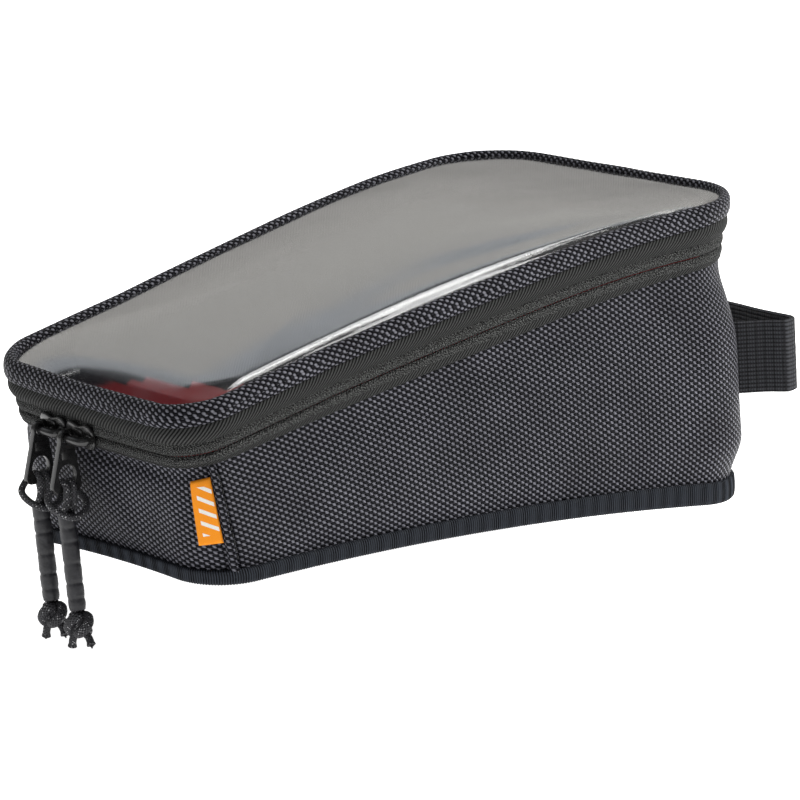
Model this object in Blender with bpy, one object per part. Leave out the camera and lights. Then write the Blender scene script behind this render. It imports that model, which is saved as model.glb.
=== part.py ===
"""Motorcycle tank bag, modelled in millimetres and written to the scene in metres.

Frame: +Y points to the tall, wide end with the webbing loop, -Y to the low, narrow end where the zip
sliders meet, and +Z up. The origin is the middle of the flat facet under the arched base, which is
where the bag's magnets hold it on a fuel tank. The zip pulls hang lower than that facet.
"""
import math

import bpy
import bmesh
from mathutils import Matrix, Vector

MM = 0.001
GAP = 0.3
LAYER_GAP = 0.5

# Base outline and its arched, cambered underside.
BASE_LENGTH = 240.0
BASE_HALF_FRONT = 52.0
BASE_HALF_REAR = 75.7
BASE_CORNER_FRONT = 21.0
BASE_CORNER_REAR = 29.1
BASE_ARCH = 5.8
BASE_CAMBER = 2.7
CAMBER_REACH = 60.0
FACET_DROP = 0.8

# Lid outline, measured at the outside of the rolled welt.
LID_HALF_FRONT = 55.5
LID_HALF_REAR = 75.2
LID_FRONT_Y = -132.3
LID_REAR_Y = 116.5
LID_CORNER_FRONT = 20.0
LID_CORNER_REAR = 30.0
LID_FRONT_BOW = 2.0

# Height of the lid's rim along Y: (y, z) stations joined by a smooth curve, and the far front corner
# lifted over the near one by a tilt that fades out along Y.
RIM_STATIONS = ((-137.0, 54.8), (-87.0, 66.8), (-18.0, 82.7), (50.0, 96.2), (120.0, 103.6))
FRONT_TILT = 1.8
TILT_REACH = 60.0

# Depths below the rim.
WELT_DEPTH = 7.5
ZIP_CENTRE = 18.4
TAPE_BOTTOM = 25.0
SHELL_TOP = 23.2
ZIP_SPLIT = 0.8
COIL_HEIGHT = 2.0

# Below this depth the lower tape narrows towards the lid's two ends, to a share of its height.
FIRM_DEPTH = 21.3
END_SHARE = 0.35

# Thicknesses.
TAPE = 0.8
COIL = 2.2
SHELL = 1.2
WALL_FOAM = 3.0
LINER = 0.6
BINDING = 1.0
BASE_SHEET = 1.2
BASE_FOAM = 5.0
WINDOW = 0.8
LABEL = 0.6

# The rolled welt's section as (inset from the lid's outline, depth below the rim), and the inset of
# the sheets that it holds.
WELT_PROFILE = ((1.5, 0.0), (0.3, 2.0), (0.0, 4.5), (0.6, 6.9), (1.8, WELT_DEPTH), (4.2, WELT_DEPTH),
                (4.5, 6.0), (4.5, 1.2), (3.2, 0.0))
LID_EDGE = 4.8

TAPE_INSET = 2.2
TAPE_SLOPE = 0.152
LEAN = 0.1
BINDING_HEIGHT = 0.06
BINDING_LIP = 7.0
TUCK = 0.1
PAD_INSET = 9.0
SEAM_GAP = 0.12

POCKET_SAG = 10.0
POCKET_FRONT = 24.0
MOUTH_FADE = 16.0
WINDOW_CROWN = 4.0

# Outline divisions: each corner arc, and the straight runs between the arcs.
CORNER_STEPS = 5
SIDE_STEPS = 8
REAR_STEPS = 6
FRONT_STEPS = 6
RING = 4 * CORNER_STEPS + 2 * SIDE_STEPS + REAR_STEPS + FRONT_STEPS
REAR_START = 2 * CORNER_STEPS + SIDE_STEPS
REAR_END = REAR_START + REAR_STEPS
NEAR_SEAM = 3
FAR_SEAM = RING - FRONT_STEPS - 3

# Zip sliders, pullers and pulls.
SLIDER_LENGTH = 14.0
SLIDER_HALF_HEIGHT = 4.5
SLIDER_PLATE = 1.6
SLIDER_BACK = 1.2
SLIDER_X = {"right": -3.4, "left": -18.2}
PULLER_X = {"right": -6.8, "left": -21.6}
BAIL_STANDOFF = 5.6
BAIL_HALF_LENGTH = 6.6
PULLER_THICKNESS = 2.0
PULLER_LENGTH = 18.5
PULLER_TOP_RADIUS = 3.0
PULLER_BOTTOM_RADIUS = 6.2
CORD_HOLE_DROP = 12.8
CORD_HOLE_HALF_WIDTH = 3.6
CORD_HOLE_HALF_HEIGHT = 3.9
CORD = 2.4
STRAND_SPACING = 2.75
SLEEVE_OUTER = 6.4
SLEEVE_BORE = 5.6
SLEEVE_LENGTH = 33.0
SLEEVE_DROP = 7.0
PULL_LEAN = math.radians(9.5)
KNOT_WIDTH = 13.6
KNOT_HEIGHT = 11.5

# Webbing loop on the rear face.
WEBBING_HEIGHT = 27.0
WEBBING = 1.8
TACK = 0.6
LOOP_CENTRE_Z = 37.0
LOOP_LEAN = math.radians(4.35)

MAGNET_RADIUS = 12.5
MAGNET_HEIGHT = 3.0
MAGNET_SEAT = 0.9
DISC_SIDES = 24
MAGNETS = {"front_near": (28.0, -78.0), "front_far": (-28.0, -78.0),
           "rear_near": (38.0, 78.0), "rear_far": (-38.0, 78.0)}

# The label's height on the wall, as shares from the base to the zip, and its outline divisions.
LABEL_LOW = 0.30
LABEL_HIGH = 0.89
LABEL_STEPS = (1.95, 2.4, 2.9, 3.35)

COLOURS = {
    "nylon": ((0.022, 0.023, 0.026), 0.62, 0.0),
    "tape": ((0.030, 0.029, 0.028), 0.75, 0.0),
    "binding": ((0.018, 0.021, 0.026), 0.7, 0.0),
    "coil": ((0.020, 0.020, 0.020), 0.45, 0.0),
    "black_metal": ((0.014, 0.014, 0.015), 0.28, 0.75),
    "lining": ((0.16, 0.004, 0.006), 0.55, 0.0),
    "pocket": ((0.018, 0.018, 0.019), 0.8, 0.0),
    "window": ((0.42, 0.41, 0.40), 0.12, 0.0),
    "foam": ((0.10, 0.10, 0.11), 0.9, 0.0),
    "board": ((0.05, 0.05, 0.05), 0.5, 0.0),
    "magnet": ((0.55, 0.55, 0.56), 0.3, 1.0),
    "label": ((0.95, 0.36, 0.02), 0.7, 0.0),
    "cord": ((0.02, 0.02, 0.02), 0.75, 0.0),
    "sleeve": ((0.035, 0.034, 0.038), 0.42, 0.0),
    "webbing": ((0.025, 0.026, 0.028), 0.7, 0.0),
}


def clear_scene():
    for obj in list(bpy.data.objects):
        bpy.data.objects.remove(obj, do_unlink=True)


def material(name):
    found = bpy.data.materials.get(name)
    if found:
        return found
    colour, roughness, metallic = COLOURS[name]
    made = bpy.data.materials.new(name)
    made.use_nodes = True
    shader = made.node_tree.nodes["Principled BSDF"]
    shader.inputs["Base Color"].default_value = (*colour, 1.0)
    shader.inputs["Roughness"].default_value = roughness
    shader.inputs["Metallic"].default_value = metallic
    return made


def add_mesh(name, points, faces, finish, smooth=True):
    """An object from points in millimetres and faces that run anticlockwise seen from outside."""
    mesh = bpy.data.meshes.new(name)
    mesh.from_pydata([Vector(p) * MM for p in points], [], faces)
    shaped = bmesh.new()
    shaped.from_mesh(mesh)
    bmesh.ops.recalc_face_normals(shaped, faces=shaped.faces)
    shaped.to_mesh(mesh)
    shaped.free()
    mesh.materials.append(material(finish))
    if smooth:
        mesh.shade_smooth()
        mesh.set_sharp_from_angle(angle=math.radians(40))
    obj = bpy.data.objects.new(name, mesh)
    bpy.context.collection.objects.link(obj)
    return obj


def hang_on(obj, pivot, turn=None):
    """Give a piece built around its pivot its place: the pivot in millimetres, and a rotation."""
    matrix = Matrix.Translation(Vector(pivot) * MM)
    if turn is not None:
        matrix = matrix @ turn.to_4x4()
    obj.matrix_world = matrix
    return obj


def move_origin(obj, pivot):
    """Put the object's origin on a pivot without moving the piece."""
    shift = Vector(pivot) * MM
    obj.data.transform(Matrix.Translation(-shift))
    obj.location = shift


# ---------------------------------------------------------------- outlines

def rounded_outline(half_front, half_rear, y_front, y_rear, r_front, r_rear):
    """A trapezoid with rounded corners, anticlockwise from the near front corner."""
    corners = [(half_front, y_front, r_front), (half_rear, y_rear, r_rear),
               (-half_rear, y_rear, r_rear), (-half_front, y_front, r_front)]
    arcs = []
    for place, (x, y, radius) in enumerate(corners):
        here = Vector((x, y))
        before = (Vector(corners[place - 1][:2]) - here).normalized()
        after = (Vector(corners[(place + 1) % 4][:2]) - here).normalized()
        half_angle = before.angle(after) / 2
        centre = here + (before + after).normalized() * radius / math.sin(half_angle)
        first = here + before * radius / math.tan(half_angle) - centre
        sweep = math.pi - 2 * half_angle
        start = math.atan2(first.y, first.x)
        arcs.append([centre + radius * Vector((math.cos(start + sweep * k / CORNER_STEPS),
                                               math.sin(start + sweep * k / CORNER_STEPS)))
                     for k in range(CORNER_STEPS + 1)])
    points = []
    for place, steps in enumerate((SIDE_STEPS, REAR_STEPS, SIDE_STEPS, FRONT_STEPS)):
        arc, following = arcs[place], arcs[(place + 1) % 4]
        points += arc
        points += [arc[-1].lerp(following[0], k / steps) for k in range(1, steps)]
    return points


outlines = {}


def base_outline(inset):
    key = ("base", round(inset, 4))
    if key not in outlines:
        outlines[key] = rounded_outline(
            BASE_HALF_FRONT - inset, BASE_HALF_REAR - inset, -BASE_LENGTH / 2 + inset,
            BASE_LENGTH / 2 - inset, BASE_CORNER_FRONT - min(inset, 9.0), BASE_CORNER_REAR - inset)
    return outlines[key]


def lid_outline(inset, front_cut=0.0, front_corner=None):
    """The lid's outline moved inward, with its bowed front."""
    key = ("lid", round(inset, 4), front_cut)
    if key in outlines:
        return outlines[key]
    front_y = LID_FRONT_Y + inset + front_cut
    widen = (LID_HALF_REAR - LID_HALF_FRONT) * front_cut / (LID_REAR_Y - LID_FRONT_Y)
    half_front = LID_HALF_FRONT - inset + widen
    points = rounded_outline(half_front, LID_HALF_REAR - inset, front_y, LID_REAR_Y - inset,
                             front_corner or LID_CORNER_FRONT - inset, LID_CORNER_REAR - inset)
    shaped = []
    for point in points:
        along = (point.y - LID_FRONT_Y - inset) / (LID_REAR_Y - LID_FRONT_Y - 2 * inset)
        half = half_front + (LID_HALF_REAR - LID_HALF_FRONT) * along
        across = min(1.0, abs(point.x) / half)
        bow = LID_FRONT_BOW * (1 - across ** 2) * max(0.0, 1 - 4 * along)
        shaped.append(Vector((point.x, point.y - bow)))
    outlines[key] = shaped
    return shaped


def rim_height(x, y):
    """Height of the lid's rim, with the front's tilt."""
    fade = min(1.0, max(0.0, 1 - (y - LID_FRONT_Y) / TILT_REACH))
    return rim_curve(y) - FRONT_TILT * fade * x / LID_HALF_FRONT


def rim_curve(y):
    """Cubic curve through the rim stations (finite-difference tangents, straight past the ends)."""
    stations = RIM_STATIONS
    slopes = []
    for place in range(len(stations)):
        low, high = max(place - 1, 0), min(place + 1, len(stations) - 1)
        slopes.append((stations[high][1] - stations[low][1]) / (stations[high][0] - stations[low][0]))
    if y <= stations[0][0]:
        return stations[0][1] + slopes[0] * (y - stations[0][0])
    if y >= stations[-1][0]:
        return stations[-1][1] + slopes[-1] * (y - stations[-1][0])
    for (y0, z0), (y1, z1), m0, m1 in zip(stations, stations[1:], slopes, slopes[1:]):
        if y <= y1:
            span = y1 - y0
            t = (y - y0) / span
            return ((2 * t ** 3 - 3 * t ** 2 + 1) * z0 + (t ** 3 - 2 * t ** 2 + t) * span * m0
                    + (3 * t ** 2 - 2 * t ** 3) * z1 + (t ** 3 - t ** 2) * span * m1)
    return stations[-1][1]


def underside(x, y):
    """Height of the base's underside: an arch along Y and a camber across X, flat in the middle."""
    rise = BASE_ARCH * (2 * y / BASE_LENGTH) ** 2 + BASE_CAMBER * (x / CAMBER_REACH) ** 2
    return -max(0.0, rise - FACET_DROP)


def rim_point(i, inset, depth):
    """Point i of the lid's outline, inset from the welt and some depth below the rim."""
    flat = lid_outline(inset)[i % RING]
    lean = LEAN * max(0.0, depth - WELT_DEPTH)
    return Vector((flat.x, flat.y + lean, rim_height(flat.x, flat.y) - depth))


def zip_point(i, behind, depth):
    """Point i behind the outer face of the zip tapes by some distance."""
    if depth > FIRM_DEPTH:
        along = (lid_outline(0.0)[i % RING].y - LID_FRONT_Y) / (LID_REAR_Y - LID_FRONT_Y)
        share = END_SHARE + (1 - END_SHARE) * math.sin(math.pi * min(1.0, max(0.0, along)))
        depth = FIRM_DEPTH + (depth - FIRM_DEPTH) * share
    return rim_point(i, TAPE_INSET + TAPE_SLOPE * (depth - WELT_DEPTH) + behind, depth)


def wall_point(i, behind, up):
    """Point i behind the shell's outer face: the base edge is 0, the zip tape's foot 1 and the
    shell's top edge, tucked up behind the tape, 1.1."""
    flat = base_outline(BINDING + GAP + behind)[i % RING]
    low = Vector((flat.x, flat.y, underside(flat.x, flat.y) + BASE_SHEET + GAP))
    foot = zip_point(i, TAPE + GAP + behind, TAPE_BOTTOM + GAP)
    if up <= 1.0:
        return low.lerp(foot, up)
    return foot.lerp(zip_point(i, TAPE + GAP + behind, SHELL_TOP), (up - 1.0) / TUCK)


# ---------------------------------------------------------------- builders

def sweep(name, sections, finish, closed=True):
    """A solid through cross-sections that all have the same number of points."""
    count, size = len(sections), len(sections[0])
    points = [p for section in sections for p in section]
    faces = []
    for i in range(count if closed else count - 1):
        following = (i + 1) % count
        for j in range(size):
            beside = (j + 1) % size
            faces.append((i * size + j, i * size + beside, following * size + beside, following * size + j))
    if not closed:
        faces.append(tuple(range(size)))
        faces.append(tuple((count - 1) * size + j for j in reversed(range(size))))
    return add_mesh(name, points, faces, finish)


def ring_solid(name, point_at, profile, finish, start=0, stop=RING):
    """Sweep a profile of (behind, depth or height) pairs along part of the outline."""
    closed = stop - start == RING
    steps = range(start, stop if closed else stop + 1)
    return sweep(name, [[point_at(i, *pair) for pair in profile] for i in steps], finish, closed)


def band(thick_from, thick_to, levels):
    """Profile of a band: its outer face down the levels and its inner face back up."""
    outer = [(thick_from, level) for level in levels]
    inner = [(thick_to, level) for level in reversed(levels)]
    return outer + inner


def sheet(name, outline, low_at, high_at, rings, finish):
    """A thick sheet over an outline, from rings scaled about the outline's centre."""
    centre = sum(outline, Vector((0.0, 0.0))) / len(outline)
    size = len(outline)
    points = []
    for height_at in (low_at, high_at):
        for scale in rings:
            for corner in outline:
                flat = centre.lerp(corner, scale)
                points.append(Vector((flat.x, flat.y, height_at(flat.x, flat.y, scale))))
    layers = len(rings)
    faces = [tuple(reversed(range(size))), tuple(layers * size + j for j in range(size))]
    for ring in range(layers - 1):
        for j in range(size):
            beside = (j + 1) % size
            a, b = ring * size, (ring + 1) * size
            faces.append((a + j, a + beside, b + beside, b + j))
            top_a, top_b = a + layers * size, b + layers * size
            faces.append((top_a + j, top_b + j, top_b + beside, top_a + beside))
    low, high = (layers - 1) * size, (2 * layers - 1) * size
    faces += [(low + j, low + (j + 1) % size, high + (j + 1) % size, high + j) for j in range(size)]
    return add_mesh(name, points, faces, finish)


def prism(name, outline, axes, low, high, finish, origin=(0, 0, 0)):
    """An outline in the plane of two axes, extruded along the third from low to high."""
    first, second, along = (Vector(a) for a in axes)
    base = Vector(origin)
    size = len(outline)
    points = [base + first * u + second * v + along * w for w in (low, high) for u, v in outline]
    faces = [tuple(reversed(range(size))), tuple(range(size, 2 * size))]
    faces += [(j, (j + 1) % size, size + (j + 1) % size, size + j) for j in range(size)]
    return add_mesh(name, points, faces, finish)


def turned(name, outline, sides, finish):
    """A closed (radius, height) outline spun about Z."""
    sections = []
    for k in range(sides):
        angle = 2 * math.pi * k / sides
        sections.append([Vector((r * math.cos(angle), r * math.sin(angle), z)) for r, z in outline])
    return sweep(name, sections, finish)


def tube(name, points, diameter, finish, resolution=2):
    """A round cord along points in millimetres, as a curve with filled ends."""
    curve = bpy.data.curves.new(name, "CURVE")
    curve.dimensions = "3D"
    curve.bevel_depth = diameter / 2 * MM
    curve.bevel_resolution = resolution
    curve.use_fill_caps = True
    spline = curve.splines.new("POLY")
    spline.points.add(len(points) - 1)
    for slot, point in zip(spline.points, points):
        slot.co = (*(Vector(point) * MM), 1.0)
    curve.materials.append(material(finish))
    obj = bpy.data.objects.new(name, curve)
    bpy.context.collection.objects.link(obj)
    return obj


def join_by_boolean(target, tool, operation):
    """Apply a Boolean to the target's mesh and drop the tool."""
    change = target.modifiers.new(operation.lower(), "BOOLEAN")
    change.operation = operation
    change.object = tool
    bpy.context.view_layer.update()
    shaped = target.evaluated_get(bpy.context.evaluated_depsgraph_get())
    result = bpy.data.meshes.new_from_object(shaped)
    target.modifiers.clear()
    target.data = result
    bpy.data.objects.remove(tool, do_unlink=True)


def arc(centre, radius, start, end, steps):
    """Points along an arc in a plane, angles in degrees."""
    angles = [math.radians(start + (end - start) * k / steps) for k in range(steps + 1)]
    return [(centre[0] + radius * math.cos(a), centre[1] + radius * math.sin(a)) for a in angles]


# ---------------------------------------------------------------- base

def build_base():
    rings = (0.3, 0.62, 1.0)

    def above_underside(distance):
        return lambda x, y, scale: underside(x, y) + distance

    def slab(name, inset, low, high, finish):
        return sheet(name, base_outline(inset), above_underside(low), above_underside(high), rings, finish)

    slab("base_panel", BINDING + GAP, 0.0, BASE_SHEET, "nylon")
    foam_low = BASE_SHEET + GAP
    foam = slab("base_foam", PAD_INSET, foam_low, foam_low + BASE_FOAM, "foam")
    board_low = foam_low + BASE_FOAM + GAP
    slab("base_board", PAD_INSET + LAYER_GAP, board_low, board_low + BASE_SHEET, "board")
    floor_low = board_low + BASE_SHEET + GAP
    slab("lining_floor", PAD_INSET, floor_low, floor_low + LINER, "lining")

    magnet_low = foam_low + MAGNET_SEAT
    for place, (x, y) in MAGNETS.items():
        z = underside(x, y) + magnet_low
        cutter = disc("cutter", MAGNET_RADIUS + LAYER_GAP, 3 * BASE_FOAM, "foam")
        hang_on(cutter, (x, y, z - BASE_FOAM))
        join_by_boolean(foam, cutter, "DIFFERENCE")
        magnet = disc("magnet_" + place, MAGNET_RADIUS, MAGNET_HEIGHT, "magnet")
        hang_on(magnet, (x, y, z))

    def binding_section(i):
        lip = base_outline(BINDING_LIP)[i % RING]
        foot = wall_point(i, -BINDING - GAP, 0.0)
        heel = wall_point(i, -GAP, 0.0)
        low = underside(foot.x, foot.y) - BINDING - GAP
        lip_low = underside(lip.x, lip.y) - BINDING - GAP
        return [wall_point(i, -BINDING - GAP, BINDING_HEIGHT), Vector((foot.x, foot.y, low)),
                Vector((lip.x, lip.y, lip_low)), Vector((lip.x, lip.y, lip_low + BINDING)),
                Vector((heel.x, heel.y, low + BINDING)), wall_point(i, -GAP, BINDING_HEIGHT)]

    sweep("base_binding", [binding_section(i) for i in range(RING)], "binding")


def disc(name, radius, height, finish):
    """A solid disc standing on Z = 0."""
    outline = arc((0, 0), radius, 0, 360 - 360 / DISC_SIDES, DISC_SIDES - 1)
    return prism(name, outline, ((1, 0, 0), (0, 1, 0), (0, 0, 1)), 0.0, height, finish)


# ---------------------------------------------------------------- walls and zip

def build_walls():
    levels = (1.0 + TUCK, 1.0, 0.66, 0.33, 0.0)
    ring_solid("shell_wrap", wall_point, band(0.0, SHELL, levels), "nylon", NEAR_SEAM, FAR_SEAM)
    front = range(FAR_SEAM, NEAR_SEAM + RING + 1)
    inward = {front[0]: front[0] + 1, front[-1]: front[-1] - 1}

    def front_section(i):
        """The front panel's ends stop just short of the wrap's, by a share of one outline step."""
        beside = inward.get(i, i)
        return [wall_point(i, *pair).lerp(wall_point(beside, *pair), SEAM_GAP)
                for pair in band(0.0, SHELL, levels)]

    sweep("front_panel", [front_section(i) for i in front], "nylon", closed=False)
    foam_from = SHELL + LAYER_GAP
    liner_from = foam_from + WALL_FOAM + LAYER_GAP
    foam = band(foam_from, foam_from + WALL_FOAM, (0.92, *levels[2:]))
    lining = band(liner_from, liner_from + LINER, (0.98, *levels[2:]))
    ring_solid("wall_foam", wall_point, foam, "foam")
    ring_solid("lining_wall", wall_point, lining, "lining")


def build_label():
    """A small woven flag sewn into the near corner seam, lying on the front panel."""
    profile = band(-GAP - LABEL, -GAP, (LABEL_HIGH, LABEL_LOW))

    def section(place):
        i = int(place)
        return [wall_point(i, *pair).lerp(wall_point(i + 1, *pair), place - i) for pair in profile]

    sweep("label_tab", [section(place) for place in LABEL_STEPS], "label", closed=False)


def build_zip():
    around = dict(start=REAR_END, stop=RING + REAR_START)
    lower_edge, upper_edge = ZIP_CENTRE + ZIP_SPLIT, ZIP_CENTRE - ZIP_SPLIT
    coil = (TAPE + GAP, TAPE + GAP + COIL)
    ring_solid("zip_tape_lower", zip_point, band(0.0, TAPE, (lower_edge, TAPE_BOTTOM)), "tape", **around)
    ring_solid("zip_tape_upper", zip_point, band(0.0, TAPE, (WELT_DEPTH + GAP, upper_edge)), "tape",
               **around)
    ring_solid("zip_coil_lower", zip_point, band(*coil, (lower_edge, lower_edge + COIL_HEIGHT)), "coil",
               **around)
    ring_solid("zip_coil_upper", zip_point, band(*coil, (upper_edge - COIL_HEIGHT, upper_edge)), "coil",
               **around)


def build_hinge():
    """The fabric hinge across the rear face, between the two ends of the zip."""
    span = dict(start=REAR_START, stop=REAR_END)

    def between(i, behind, depth):
        """Stop just short of the zip's ends."""
        here = zip_point(i, behind, depth)
        if i == REAR_START:
            return here + Vector((-GAP, 0, 0))
        if i == REAR_END:
            return here + Vector((GAP, 0, 0))
        return here

    lower = band(0.0, TAPE, (ZIP_CENTRE + ZIP_SPLIT, TAPE_BOTTOM))
    upper = band(0.0, TAPE, (WELT_DEPTH + GAP, ZIP_CENTRE - ZIP_SPLIT))
    ring_solid("hinge_strip_lower", between, lower, "tape", **span)
    ring_solid("hinge_strip_upper", between, upper, "tape", **span)
    short = 1.0
    levels = {"lower": (ZIP_CENTRE + ZIP_SPLIT + short, TAPE_BOTTOM - short),
              "upper": (WELT_DEPTH + GAP + short, ZIP_CENTRE - ZIP_SPLIT - short)}
    for side, first, shares in (("near", REAR_START, (0.15, 0.6)), ("far", REAR_END - 1, (0.4, 0.85))):
        def tab_point(i, behind, level, first=first, shares=shares):
            a, b = zip_point(first, behind, level), zip_point(first + 1, behind, level)
            return a.lerp(b, shares[i])

        for half, depths in levels.items():
            outside = band(-GAP - TAPE, -GAP, depths)
            ring_solid("zip_end_%s_%s" % (half, side), tab_point, outside, "tape", 0, 1)


# ---------------------------------------------------------------- lid

def build_lid():
    ring_solid("lid_welt", rim_point, WELT_PROFILE, "nylon")
    inside = band(LID_EDGE, LID_EDGE + LINER, (LID_EDGE, LID_EDGE + 5.6))
    ring_solid("lid_binding", rim_point, inside, "binding")

    edge = lid_outline(LID_EDGE)

    def window_at(depth):
        return lambda x, y, scale: rim_height(x, y) - depth + WINDOW_CROWN * (1 - scale ** 2)

    rings = (0.12, 0.5, 0.86, 1.0)
    window_top = 1.0
    sheet("window", edge, window_at(window_top + WINDOW), window_at(window_top), rings, "window")

    pocket_top = window_top + WINDOW + GAP
    pocket_front = LID_FRONT_Y + LID_EDGE + POCKET_FRONT

    def sag(y, scale):
        """The sheet hangs off its sewn edges, and hangs free at its front edge, the pocket's mouth."""
        from_edge = min(1.0, (1.0 - scale) / (1.0 - rings[-2]))
        mouth = 1.0 - (y - pocket_front) / MOUTH_FADE
        return POCKET_SAG * max(from_edge, min(1.0, mouth))

    def pocket_at(depth):
        return lambda x, y, scale: rim_height(x, y) - depth - sag(y, scale)

    pocket = lid_outline(LID_EDGE, POCKET_FRONT, LID_CORNER_FRONT)
    sheet("pocket_sheet", pocket, pocket_at(pocket_top + WINDOW), pocket_at(pocket_top), rings, "pocket")


# ---------------------------------------------------------------- webbing loop

def build_loop():
    """Webbing sewn flat on the rear face at both ends, bulging rearward between them."""
    half = [(12.0, 0.0), (30.0, 0.0), (40.0, 2.2), (48.5, 8.8), (56.0, 17.3)]
    half += arc((58.5, 24.2), 4.2, -35.0, 95.0, 4)
    half += [(44.0, 28.6), (30.0, 30.0), (15.0, 30.9), (0.0, 31.2)]
    path = half + [(-x, y) for x, y in reversed(half[:-1])]
    left, right = [], []
    for k, (x, y) in enumerate(path):
        before, after = Vector(path[max(k - 1, 0)]), Vector(path[min(k + 1, len(path) - 1)])
        along = (after - before).normalized()
        side = Vector((-along.y, along.x)) * WEBBING / 2
        left.append((x + side.x, y + side.y))
        right.append((x - side.x, y - side.y))
    outline = left + list(reversed(right))
    axes = ((1, 0, 0), (0, 1, 0), (0, 0, 1))
    loop = prism("webbing_loop", outline, axes, -WEBBING_HEIGHT / 2, WEBBING_HEIGHT / 2, "webbing")
    centre = (REAR_START + REAR_END) // 2
    face = wall_point(centre, 0.0, 0.0).lerp(wall_point(centre, 0.0, 1.0),
                                             (LOOP_CENTRE_Z + 8.0) / (rim_curve(115.0) - SHELL_TOP + 8.0))
    place = Vector((0, face.y + WEBBING / 2 + GAP + 0.25, LOOP_CENTRE_Z))
    turn = Matrix.Rotation(LOOP_LEAN, 3, "X")
    hang_on(loop, place, turn)
    for side, x in (("near", 21.0), ("far", -21.0)):
        outline = [(-8, 0), (8, 0), (8, TACK), (-8, TACK)]
        tack = prism("bar_tack_" + side, outline, axes, -11.0, 11.0, "webbing")
        hang_on(tack, place + turn @ Vector((x, WEBBING / 2 + GAP, 0)), turn)


# ---------------------------------------------------------------- sliders and pulls

def front_zip_point(x, behind=0.0, depth=ZIP_CENTRE):
    """The point of the front zip run at a given X, between two outline points."""
    start = RING - FRONT_STEPS
    for i in range(start - 2, RING + 2):
        a, b = zip_point(i, behind, depth), zip_point(i + 1, behind, depth)
        if a.x <= x <= b.x:
            return a.lerp(b, (x - a.x) / (b.x - a.x))
    return zip_point(RING, behind, depth)


def circle_through(a, b, c):
    """Centre and unit axis of the circle through three points."""
    u, v = b - a, c - a
    axis = u.cross(v)
    offset = u.length_squared * v.cross(axis) - v.length_squared * u.cross(axis)
    return a + offset / (2 * axis.length_squared), axis.normalized()


def slider_frame(x):
    """Along the zip, outward and up axes of a slider at X on the front run, and its point on the tape."""
    here = front_zip_point(x)
    along = (front_zip_point(x + 4.0) - front_zip_point(x - 4.0)).normalized()
    up = front_zip_point(x, depth=ZIP_CENTRE - 4.0) - front_zip_point(x, depth=ZIP_CENTRE + 4.0)
    up = (up - along * up.dot(along)).normalized()
    outward = along.cross(up).normalized()
    return here, along, outward, up


def build_slider(side):
    here, along, outward, up = slider_frame(SLIDER_X[side])
    clear = 0.4
    front, back = clear + SLIDER_PLATE, -(TAPE + GAP + COIL + clear)
    web = 0.45
    tall = SLIDER_HALF_HEIGHT
    section = [(clear, -tall), (front, -tall + 0.6), (front, tall - 0.6), (clear, tall), (clear, web),
               (back, web), (back, tall), (back - SLIDER_BACK, tall - 0.4),
               (back - SLIDER_BACK, -tall + 0.4), (back, -tall), (back, -web), (clear, -web)]
    name = "slider_" + side
    half = SLIDER_LENGTH / 2
    body = prism(name, section, (outward, up, along), -half, half, "black_metal", here)
    foot, top = front - 0.8, BAIL_STANDOFF + 0.6
    inner, wide = BAIL_HALF_LENGTH - 1.3, BAIL_HALF_LENGTH
    bail = [(-wide, foot), (-inner, foot), (-inner, top - 2.0), (-inner + 0.8, top - 1.2),
            (inner - 0.8, top - 1.2), (inner, top - 2.0), (inner, foot), (wide, foot),
            (wide, top - 1.6), (wide - 1.6, top), (-wide + 1.6, top), (-wide, top - 1.6)]
    arch = prism("bail", bail, (along, outward, up), -0.8, 0.8, "black_metal", here)
    join_by_boolean(body, arch, "UNION")
    centre, _ = zip_arc()
    move_origin(body, centre)
    return body


def zip_arc():
    """The circle that the front zip run follows."""
    return circle_through(front_zip_point(-30.0), front_zip_point(0.0), front_zip_point(30.0))


def bail_point(side):
    """The middle of the bail's bar where the puller hangs."""
    here, along, outward, _ = slider_frame(SLIDER_X[side])
    shift = PULLER_X[side] - SLIDER_X[side]
    return here + along * shift + outward * BAIL_STANDOFF


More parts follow.
